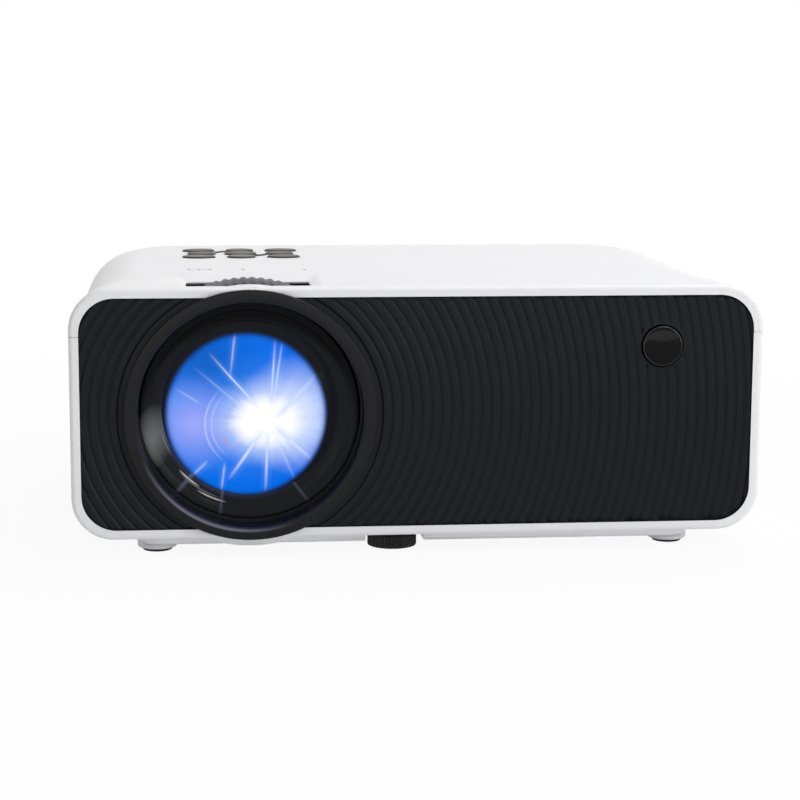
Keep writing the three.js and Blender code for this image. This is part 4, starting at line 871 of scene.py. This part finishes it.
def build_bottom_cover():
    cover = bare_shell("cover_bottom")
    combine(cover, layer(-far, seam_z - seam_gap / 2), "INTERSECT")
    combine(cover, seam_groove())

    def round_low(outline, low, radius, top, steps=5):
        """A standing form whose lower edge is rounded."""
        rings = [at("z", low + radius * wide, outline(radius * short)) for wide, short in quarter(steps)]
        return stack("standing", rings + [at("z", top, outline(0.0))])

    belly = round_low(
        lambda inset: rounded(-belly_half + inset, belly_half - inset, belly_front + inset,
                              belly_rear - inset, belly_corner - inset, 10),
        belly_z, belly_ease, body_rise + wall / 2)
    combine(cover, belly, "UNION")
    bulge = band("bulge", lens_axis, (bay_radius - 5, bay_radius + 1), (bay_front - 1, bay_rear + 1),
                 [0, bulge_ease, bulge_ease, 0], round_steps=6)
    combine(bulge, layer(-far, body_rise + wall / 2), "INTERSECT")
    combine(cover, bulge, "UNION")
    feet = [middle(f"pad_{corner}", "xy") for corner in pad_corners]
    for spot in feet:
        foot = round_low(lambda inset: oval(*spot, foot_radius - inset, foot_radius - inset, 64),
                         foot_low, foot_ease, body_rise)
        combine(cover, foot, "UNION")

    # Hollow of the belly, with a bay left solid round the notch
    side, front, rear = belly_half - belly_floor, belly_front + belly_floor, belly_rear - belly_floor
    left, right = level_x - notch_half - belly_floor, level_x + notch_half + belly_floor
    back = notch_rear + belly_floor
    hollow = prism("hollow", "z", [
        (-side, front), (left, front), (left, back), (right, back), (right, front),
        (side, front), (side, rear), (-side, rear),
    ][::-1], belly_z + belly_floor, floor_z + 1)
    combine(cover, hollow)
    combine(cover, cylinder("y", lens_axis, bay_radius, bay_front, bay_rear, 192))
    housing_low, housing_high = box_mm("optical_housing")
    combine(cover, cylinder("y", lens_axis, sleeve_radius, bay_rear - 1, housing_low.y, 128))

    inset = 6.0
    body_floor = body_rise + wall / 2
    supports = [
        cylinder("z", level_axis, nut_seat_radius, body_floor, floor_z + nut_seat_height, 48),
        cylinder("z", (0.0, tripod_y), tripod_seat_radius, belly_z,
                 belly_z + tripod_seat_height, 48),
        *pillars(screw_places, boss_radius, body_floor, boss_joint, 32),
    ]
    left_post = -belly_half + belly_floor + inset
    low, high = box_mm("side_fan_frame")
    fan_x = middle("side_fan_frame", "x")[0]
    supports += pillars([(fan_x, low.y + inset), (fan_x, high.y - inset)], post_radius, body_floor,
                        low.z - gap)
    low, high = box_mm("rear_fan_frame")
    fan_y = middle("rear_fan_frame", "y")[0]
    spots_under = {
        "optical_housing": [(x, y) for x in (left_post, housing_high.x - inset)
                            for y in (housing_low.y + inset, housing_high.y - inset)],
        "main_board": corners_in("main_board", inset),
        "power_board": corners_in("power_board", inset),
        "rear_fan_frame": [(low.x + inset, fan_y), (high.x - inset, fan_y)],
    }
    for node, spots in spots_under.items():
        supports += pillars(spots, post_radius, belly_z + belly_floor / 2, box_mm(node)[0].z - gap)
    supports = join(*supports)
    limit = shell_form("limit", 0.0, wall / 2)
    combine(limit, slab("belly_limit", "z", -belly_half, belly_half, belly_front, belly_rear,
                        belly_z, body_floor, belly_corner, 8), "UNION")
    combine(supports, limit, "INTERSECT")
    combine(cover, supports, "UNION")

    def notch(grow):
        return rounded(level_x - notch_half - grow, level_x + notch_half + grow,
                       belly_front - 3, notch_rear + grow, 1.0, 4)

    combine(cover, flared("notch", "z", notch, body_rise, belly_z, 0.5))
    combine(cover, cylinder("z", level_axis, level_bore, belly_z + 1, floor_z + 1, 32))
    combine(cover, cylinder("z", level_axis, nut_radius, floor_z, floor_z + nut_height, 32))
    cuts = [round_hole("z", (0.0, tripod_y), tripod_bore, belly_z + tripod_bore_depth, belly_z, 0.3)]
    cuts += [round_hole("z", foot, pad_seat_radius, pad_seat_top, foot_low, 0.2) for foot in feet]

    def vent(axis, along, ends, inner, face):
        sides = (along - vent_width / 2, along + vent_width / 2)
        cuts.append(long_hole(axis, sides, ends, vent_width / 2 - 0.02, inner, face, 0.25))

    heights = (body_rise + body_corner + vent_margin, top_z - body_corner - vent_margin)
    vent_y = vent_front
    while vent_y <= body_depth - rear_corner - vent_margin + 0.01:
        for side in (-1, 1):
            vent("x", vent_y, heights, side * (half_width - wall - 1), side * half_width)
        vent_y += vent_pitch
    for i in range(floor_vents):
        vent("z", floor_vent_inset - belly_half + i * vent_pitch,
             (tripod_y - floor_vent_length / 2, tripod_y + floor_vent_length / 2),
             belly_z + belly_floor + 1, belly_z)
    combine(cover, join(*cuts))
    holes = [round_hole("z", spot, head_radius, head_seat, body_rise, 0.25, beyond=8.0, steps=32)
             for spot in screw_places]
    for hole in holes + pillars(screw_places, screw_bore, shank_low, boss_joint + 1):
        combine(cover, hole)
    return cover


for cover, node in ((build_top_cover(), "top_cover"), (build_bottom_cover(), "bottom_cover")):
    # Large faces lead the shading, so that cuts in the flat top leave no shadow of their corners
    step = cover.modifiers.new("even_shading", "WEIGHTED_NORMAL")
    step.keep_sharp = True
    step.weight = 80
    finish_piece(cover, white, node)


# Front panel, lens ring and windows
panel_recess = 0.5
groove_start = ring_radius + 1.5
groove_pitch = 2.88
groove_depth = 0.32
groove_share = 0.25
land_crown = 0.12
flange_front, flange_rear = 2.3, 4.1
window_axis = middle("ir_window")
window_x, window_z = window_axis
window_bore = 6.2
seat_radius = 7.05
board_post, board_front = 9.5, 8.1


def build_front_panel():
    reach = hypot(half_width - lens_x, half_height + 1)
    profile = [(0.0, flange_rear - 0.5), (reach + 4, flange_rear - 0.5)]
    count = ceil((reach - groove_start) / groove_pitch)
    # A groove is a narrow rounded valley between lands that are slightly crowned
    stations = [groove_share * t for t in (0.0, 0.2, 0.4, 0.6, 0.8, 1.0)]
    stations += [0.37, 0.5, 0.63] + [1 - t for t in reversed(stations[1:])]
    face = []
    for i in range(count):
        for share in stations:
            wall_share = max(1 - min(share, 1 - share) / groove_share, 0.0)
            sunk = groove_depth * smoothstep(wall_share, 0.0, 1.0) + land_crown * (2 * share - 1) ** 2
            face.append((groove_start + (i + share) * groove_pitch, panel_recess + sunk))
    profile += [(reach + 4, face[-1][1])] + face[::-1]
    profile += [(groove_start - 1.0, panel_recess), (0.0, panel_recess)]
    panel = turned("panel_front", lens_axis, profile, steps=256, smooth_deg=50.0)
    combine(panel, prism("fill", "y", rim_outline(gap), -1, (flange_front + flange_rear) / 2), "INTERSECT")
    flange = stack("flange", [shell_ring(y, wall + gap) for y in (flange_front, flange_rear)])
    combine(panel, flange, "UNION")
    seat = join(
        band("seat", window_axis, (1.0, seat_radius), (flange_rear - 0.2, panel_recess), [0, 0, 0.25, 0],
             steps=96),
        *[cylinder("y", (window_x + side * board_post, window_z), thin_post_radius, flange_rear - 0.9,
                   board_front, 24)
          for side in (-1, 1)])
    combine(panel, seat, "UNION")
    return combine(panel, join(
        cylinder("y", lens_axis, spigot_radius, -1, 20, 128),
        round_hole("y", window_axis, window_bore, flange_rear + 1, panel_recess, 0.15, steps=96)))


finish_piece(build_front_panel(), panel_black, "front_panel")

ring_profile = round_profile(
    [(32.4, 5.4), (33.6, 5.4), (33.6, -0.3), (36.1, -0.3), (36.1, -1.5), (32.4, -1.5)],
    [0.1, 0.1, 0.05, 0.15, 0.5, 1.15], 8)
ring = turned("ring_lens", lens_axis, ring_profile, steps=256)
finish_piece(ring, ring_black, "lens_ring")

window = turned("window_front", window_axis, [
    (0.0, 5.6), (7.2, 5.6), (7.2, 4.4), (5.5, 4.4), (5.5, -0.26), (5.3, -0.3), (4.5, -0.38), (3.0, -0.48),
    (1.5, -0.57), (0.0, -0.6),
], steps=96, smooth_deg=50.0)
finish_piece(window, window_black, "ir_window")
window_lip = turned("window_lip", window_axis, [
    (5.5, 4.3), (5.5, -0.26), (5.62, -0.22), (5.74, -0.14), (5.83, -0.02), (5.89, 0.14),
    (5.92, 0.4), (5.92, 4.3),
], steps=96, smooth_deg=50.0)
finish_piece(window_lip, window_edge)


# Lens
def lens_part(name, node, profile, material, radius=0.0, steps=192):
    piece = turned(name, lens_axis, round_profile(profile, radius), steps=steps)
    finish_piece(piece, material, node, "lens_barrel")


def rise(curve, radius):
    """How far a dome's middle stands over its rim."""
    return curve - sqrt(curve ** 2 - radius ** 2)


def dome(curve, radius, rim, way, steps=14):
    """A domed face from its rim to its middle."""
    radii = [radius * (1 - i / steps) for i in range(steps + 1)]
    return [(r, rim + way * (rise(curve, radius) - rise(curve, r))) for r in radii]


lens_part("barrel", "lens_barrel", [
    (31.8, 9.8), (31.8, 52.0), (25.3, 52.0), (25.3, 43.0), (22.0, 43.0), (22.0, 41.8), (26.5, 41.8),
    (26.5, 17.0), (29.0, 17.0), (29.0, 10.84), (31.2, 9.55),
], cone_lit, 0.25)
glass_back = box_mm("front_glass")[1].y
face_curve, glass_radius = 90.0, 28.5
glass_rim = glass_back - 2.9
lens_part("glass_front", "front_glass", [
    (0.0, glass_back), (glass_radius, glass_back), *dome(face_curve, glass_radius, glass_rim, -1),
], glass_lit)
bore_radius = 25.5
retainer_rear = glass_rim - rise(face_curve, glass_radius) + rise(face_curve, bore_radius) - gap
lens_part("retainer", "glass_retainer", [
    (bore_radius, retainer_rear - 0.25), (bore_radius, retainer_rear), (28.5, glass_rim - gap),
    (28.95, glass_rim - gap), (28.95, 10.86), (bore_radius + 0.7, retainer_rear - 0.95),
], cone_lit, [0.1, 0.05, 0.05, 0.05, 0.05, 0.5])
rear_face, rear_radius = 43.3, 25.0
lens_part("glass_rear", "rear_glass", [
    (0.0, rear_face), (rear_radius, rear_face), *dome(80.0, rear_radius, rear_face + 3.0, 1),
], lens_clear, steps=128)


def knurled(name, axis, centre, radius, ends, bore, bore_ends, ease, depth, teeth, curve=1.0, closed=True):
    """A knurled disc or ring: a round at both ends, and a plain bore. A curve over 1 widens the teeth."""
    steps = 8

    def outline(r, valley):
        points = []
        for i in range(teeth * steps):
            t = tau * i / (teeth * steps)
            share = 0.5 - 0.5 * cos(tau * i / steps)
            out = r - valley * share ** curve
            points.append((centre[0] + out * cos(t), centre[1] + out * sin(t)))
        return points

    start, end = ends
    rings = [(start + ease * wide, radius - ease * short, depth) for wide, short in quarter(4)]
    rings += [(end - ease * wide, radius - ease * short, depth) for wide, short in reversed(quarter(4))]
    rings += [(end, bore, 0.0) for end in bore_ends]
    return stack(name, [at(axis, along, outline(r, valley)) for along, r, valley in rings], closed=closed)


low, high = box_mm("focus_ring")
ring = knurled("ring_focus", "y", lens_axis, radius_of("focus_ring"), (low.y, high.y), bore=32.1,
               bore_ends=(high.y, low.y), ease=0.4, depth=0.46, teeth=86, curve=1.4)
finish_piece(ring, knurl_grey, "focus_ring", "focus_ring")


# Keys and the two raised arcs between them
def build_key(name):
    x, y, half_x, half_y = key_shape(name)
    low, high = box_mm(f"key_{name}")
    flange_top, cap, ease = low.z + 1.0, high.z, 0.35
    rings = [(low.z, key_flange), (flange_top, key_flange), (flange_top, 0.0)]
    rings += [(cap - key_dish - ease * short, -ease * wide) for wide, short in quarter(5)]
    loops = [at("z", z, oval(x, y, half_x + grow, half_y + grow, 64)) for z, grow in rings]
    for share in (0.8, 0.55, 0.3, 0.1):
        loops.append(at("z", cap - key_dish * share ** 2,
                        oval(x, y, (half_x - ease) * share, (half_y - ease) * share, 64)))
    return stack(f"keycap_{name}", loops)


for key_name in key_nodes:
    finish_piece(build_key(key_name), key_grey, f"key_{key_name}", f"key_{key_name}")


def bent_bead(name, centre, radius, start_deg, end_deg, width, height, base, steps=40):
    """A slim raised bead that follows an arc on the top face."""
    rings = []
    for i, t in enumerate(spread(radians(start_deg), radians(end_deg), steps)):
        taper = min(1.0, 0.25 + 0.25 * min(i, steps - i))
        half = width / 2 * taper
        section = [(radius + half * cos(turn), base + height * taper * sin(turn))
                   for turn in spread(0.0, pi, 8)]
        section += [(radius - half, base - 0.3), (radius + half, base - 0.3)]
        rings.append([(centre[0] + out * cos(t), centre[1] + out * sin(t), z)
                      for out, z in section])
    return stack(name, rings)


for number, (start, end) in enumerate(((118.0, 156.0), (-64.0, -24.0)), 1):
    bead = bent_bead(f"key_arc_{number}", key_shape("ok")[:2], radius=9.1, start_deg=start, end_deg=end,
                     width=1.1, height=0.48, base=top_z)
    finish_piece(bead, arc_grey)


# Printed marks of the focus scale, a thin film on the top face: middle and size of each, along x and y
scale_marks = [(-66.0, 53.8, 0.7, 2.4), (-62.9, 53.6, 1.1, 2.4), (-59.4, 53.5, 1.0, 2.4),
               (-62.7, 53.6, 6.0, 0.35), (-49.4, 52.9, 1.2, 2.2), (-30.5, 52.0, 0.7, 2.4)]
for number, (x, y, long, wide) in enumerate(scale_marks, 1):
    film = slab(f"focus_mark_{number}", "z", x - long / 2, x + long / 2, y - wide / 2, y + wide / 2,
                top_z - 0.05, top_z + 0.02, min(long, wide) * 0.3, 3)
    finish_piece(film, print_grey)


# Feet
for corner in pad_corners:
    node = f"pad_{corner}"
    radius, top = radius_of(node), box_mm(node)[1].z
    pad = band(f"foot_{node}", middle(node, "xy"), (0.0, radius), (0.0, top), [0, 0.5, 0.2, 0], "z", 64)
    finish_piece(pad, rubber, node)

low, high = box_mm("foot_disc")
disc = knurled("disc_level", "z", level_axis, radius_of("foot_disc"), (low.z, high.z), bore=level_bore,
               bore_ends=(high.z, low.z + 1.9), ease=0.45, depth=0.35, teeth=48, closed=False)
finish_piece(disc, foot_black, "foot_disc", "foot_disc")


def threaded(name, centre, radius, low, high, pitch, depth, steps=32):
    """A rod with rings of thread along it."""
    profile = [(0.0, low), (radius - depth, low)]
    z = low + pitch / 2
    while z + pitch / 2 < high:
        profile += [(radius - depth, z - pitch * 0.3), (radius, z), (radius - depth, z + pitch * 0.3)]
        z += pitch
    profile += [(radius - depth, high), (0.0, high)]
    return turned(name, centre, profile, "z", steps, smooth_deg=20.0)


low, high = box_mm("foot_stem")
finish_piece(threaded("stem_level", level_axis, 3.0, low.z, high.z, pitch=1.0, depth=0.35),
             steel, "foot_stem", "foot_stem")
low, high = box_mm("tripod_insert")
insert = band("insert_tripod", (0.0, tripod_y), (3.2, 5.0), (low.z, high.z), [0.4, 0.2, 0.2, 0.3], "z", 96)
finish_piece(insert, brass, "tripod_insert")


def build_screw(number):
    """A pan head screw with a cross recess."""
    low, high = box_mm(f"case_screw_{number}")
    x, y = screw_places[number - 1]
    radius, shank = (high.x - low.x) / 2, 1.3
    profile = [(0.0, low.z)]
    profile += [(radius * sin(t), low.z + 0.9 * (1 - cos(t))) for t in spread(0.3, pi / 2, 6)]
    profile += [(radius, low.z + 2.0), (shank, low.z + 2.0)]
    z = low.z + 3.0
    while z < high.z - 3.0:
        profile += [(shank - 0.25, z), (shank, z + 0.35), (shank - 0.25, z + 0.7)]
        z += 1.0
    profile += [(shank - 0.25, high.z - 1.5), (0.0, high.z)]
    screw = turned(f"screw_{number}", (x, y), profile, "z", 32)
    cross, bar = [
        slab("cross", "z", x - half_x, x + half_x, y - half_y, y + half_y, low.z - 1, low.z + 1.2, 0.1, 2)
        for half_x, half_y in ((1.35, 0.3), (0.3, 1.35))
    ]
    return combine(screw, combine(cross, bar, "UNION"))


for number in (1, 2, 3, 4):
    finish_piece(build_screw(number), steel, f"case_screw_{number}")


# Rear panel
def build_rear_panel():
    start, face = rear_low.y, rear_high.y
    plate = stack("panel_rear", [
        at("y", y, rear_outline(margin)) for y, margin in (
            (start, rear_margin), (start + 1.6, rear_margin), (start + 1.6, -gap),
            (face - 0.4, -gap), (face - 0.12, -gap - 0.12), (face, -gap - 0.4))])
    inner = start - 1
    fan_low, fan_high = box_mm("rear_fan_frame")
    slots, pitch, half = 8, 4.9, 1.3
    cuts = []
    for i in range(slots):
        x = lens_x + (i - (slots - 1) / 2) * pitch
        cuts.append(long_hole("y", (x - half, x + half), (fan_low.z + 6, fan_high.z - 6), half - 0.02,
                              inner, face, 0.35))
    # Opening of each socket: its corner radius, and how far it stands inside the socket's box
    openings = {"video_socket": (0.8, -gap), "data_socket": (0.4, -gap), "card_socket": (0.4, -gap),
                "mains_inlet": (1.0, 3.0 - gap)}
    for node, (corner, inside) in openings.items():
        low, high = box_mm(node)
        cuts.append(long_hole("y", (low.x + inside, high.x - inside), (low.z + inside, high.z - inside),
                              corner, inner, face, 0.35))
    for node, radius in (("av_jack", 3.3), ("phones_jack", 3.3), ("rear_ir_window", 4.3)):
        cuts.append(round_hole("y", middle(node), radius, inner, face, 0.3))
    for cut in cuts:
        combine(plate, cut)
    return plate


finish_piece(build_rear_panel(), panel_black, "rear_panel")
low, high = box_mm("rear_ir_window")
rear_window = turned("window_rear", middle("rear_ir_window"), [
    (0.0, low.y), (5.2, low.y), (5.2, low.y + 1.2), (4.0, low.y + 1.2), (4.0, high.y - 0.6),
    (3.9, high.y - 0.3), (3.6, high.y - 0.1), (2.4, high.y - 0.02), (0.0, high.y),
], steps=64, smooth_deg=50.0)
finish_piece(rear_window, window_black, "rear_ir_window")


# Pieces of the frame that stay: a small round on their edges and a material of their own
masks = {
    board: board_material(f"{board}_mask", box_mm(board)[0].z + board_plate)
    for board in ("main_board", "power_board", "key_board")
}
# Material of each node, and width of the round on its edges
kept = {
    "ir_board": (masks["key_board"], 0.1), "key_board": (masks["key_board"], 0.1),
    "main_board": (masks["main_board"], 0.15), "power_board": (masks["power_board"], 0.3),
    "lens_sleeve": (housing_black, 0.3), "optical_housing": (housing_black, 0.4),
    "front_fresnel": (lens_clear, 0.2), "rear_fresnel": (lens_clear, 0.2),
    "lcd_panel": (window_black, 0.2), "lcd_ribbon": (flex, 0.0), "light_funnel": (housing_black, 0.4),
    "condenser_lens": (lens_clear, 0.2), "led_module": (aluminium, 0.2), "heat_sink": (aluminium, 0.2),
    "rear_fan_frame": (inner_black, 0.4), "rear_fan_rotor": (fan_grey, 0.3),
    "side_fan_frame": (inner_black, 0.3), "side_fan_rotor": (fan_grey, 0.2),
    "video_socket": (steel, 0.15), "data_socket": (steel, 0.15), "card_socket": (steel, 0.15),
    "av_jack": (inner_black, 0.2), "phones_jack": (inner_black, 0.2), "mains_inlet": (inner_black, 0.25),
    "loudspeaker": (inner_black, 0.4), "foot_nut": (brass, 0.2),
}
for node, (material, width) in kept.items():
    piece = nodes[node]
    paint_piece(piece, material)
    if width:
        step = piece.modifiers.new("edges", "BEVEL")
        step.width = width * MM
        step.segments = 2
        step.limit_method = "ANGLE"
        step.angle_limit = radians(40.0)


# Stage, light and camera
world = bpy.data.worlds.new("studio")
bpy.context.scene.world = world
world.use_nodes = True
around = Nodes(world.node_tree)
sky = around.tree.nodes["Background"]
sky.inputs["Color"].default_value = (1.0, 0.997, 0.99, 1.0)
sky.inputs["Strength"].default_value = 0.33
around.show_white("World Output", sky.outputs[0], "ShaderNodeBackground", 1.0)

ground = bpy.data.meshes.new("floor")
ground.from_pydata([(-6, -6, 0), (6, -6, 0), (6, 6, 0), (-6, 6, 0)], [], [(0, 1, 2, 3)])
floor = add("floor", ground)
floor_paint = Paint("floor_white")
floor_paint.set(Base_Color=(0.9, 0.9, 0.9, 1.0), Roughness=0.9)
floor_white = floor_paint.ramp(floor_paint.length(*floor_paint.axes()[:2]), 110.0, 420.0, 0.92, 1.0)
floor_paint.show_white("Material Output", floor_paint.surface.outputs[0], "ShaderNodeEmission", floor_white)
ground.materials.append(floor_paint.material)

# Name and place of each lamp, the point it faces, its size and its power
for name, place_of_lamp, target, size, power in (
    ("lamp_top", (0.25, 0.08, 0.95), (0.0, 0.0, 0.04), (0.8, 0.6), 4.2),
    ("lamp_front", (0.42, -0.55, 0.8), (0.0, 0.0, 0.04), (0.35, 0.3), 1.5),
    ("lamp_right", (0.9, -0.72, 0.42), (0.0, -0.05, 0.12), (0.35, 0.75), 3.1),
    ("lamp_low", (0.0, -0.85, 0.07), (0.0, -0.1, 0.0), (0.9, 0.1), 0.5),
):
    data = bpy.data.lights.new(name, "AREA")
    data.shape = "RECTANGLE"
    data.size, data.size_y = size
    data.energy = power
    light = add(name, data)
    light.location = place_of_lamp
    facing = Vector(target) - Vector(place_of_lamp)
    light.rotation_euler = facing.to_track_quat("-Z", "Y").to_euler()

camera_data = bpy.data.cameras.new("camera")
camera_data.lens = 92.66
camera_data.sensor_width = 36.0
camera_data.clip_start = 0.01
camera = add("camera", camera_data)
bpy.context.scene.camera = camera
# Turns of the camera in radians, from level and straight at the front, as fitted to the photo
yaw, pitch, roll = 0.1035, 0.1604, 0.0050
camera_place = (-0.06638, -0.65175, 0.13994)
forward = Vector((sin(yaw) * cos(pitch), cos(yaw) * cos(pitch), -sin(pitch)))
right = forward.cross(Vector((0, 0, 1))).normalized()
up = right.cross(forward)
right, up = cos(roll) * right + sin(roll) * up, cos(roll) * up - sin(roll) * right
camera.matrix_world = Matrix.Translation(camera_place) @ Matrix(
    (right, up, -forward)).transposed().to_4x4()
bpy.context.scene.view_settings.view_transform = "Standard"

bpy.context.view_layer.update()
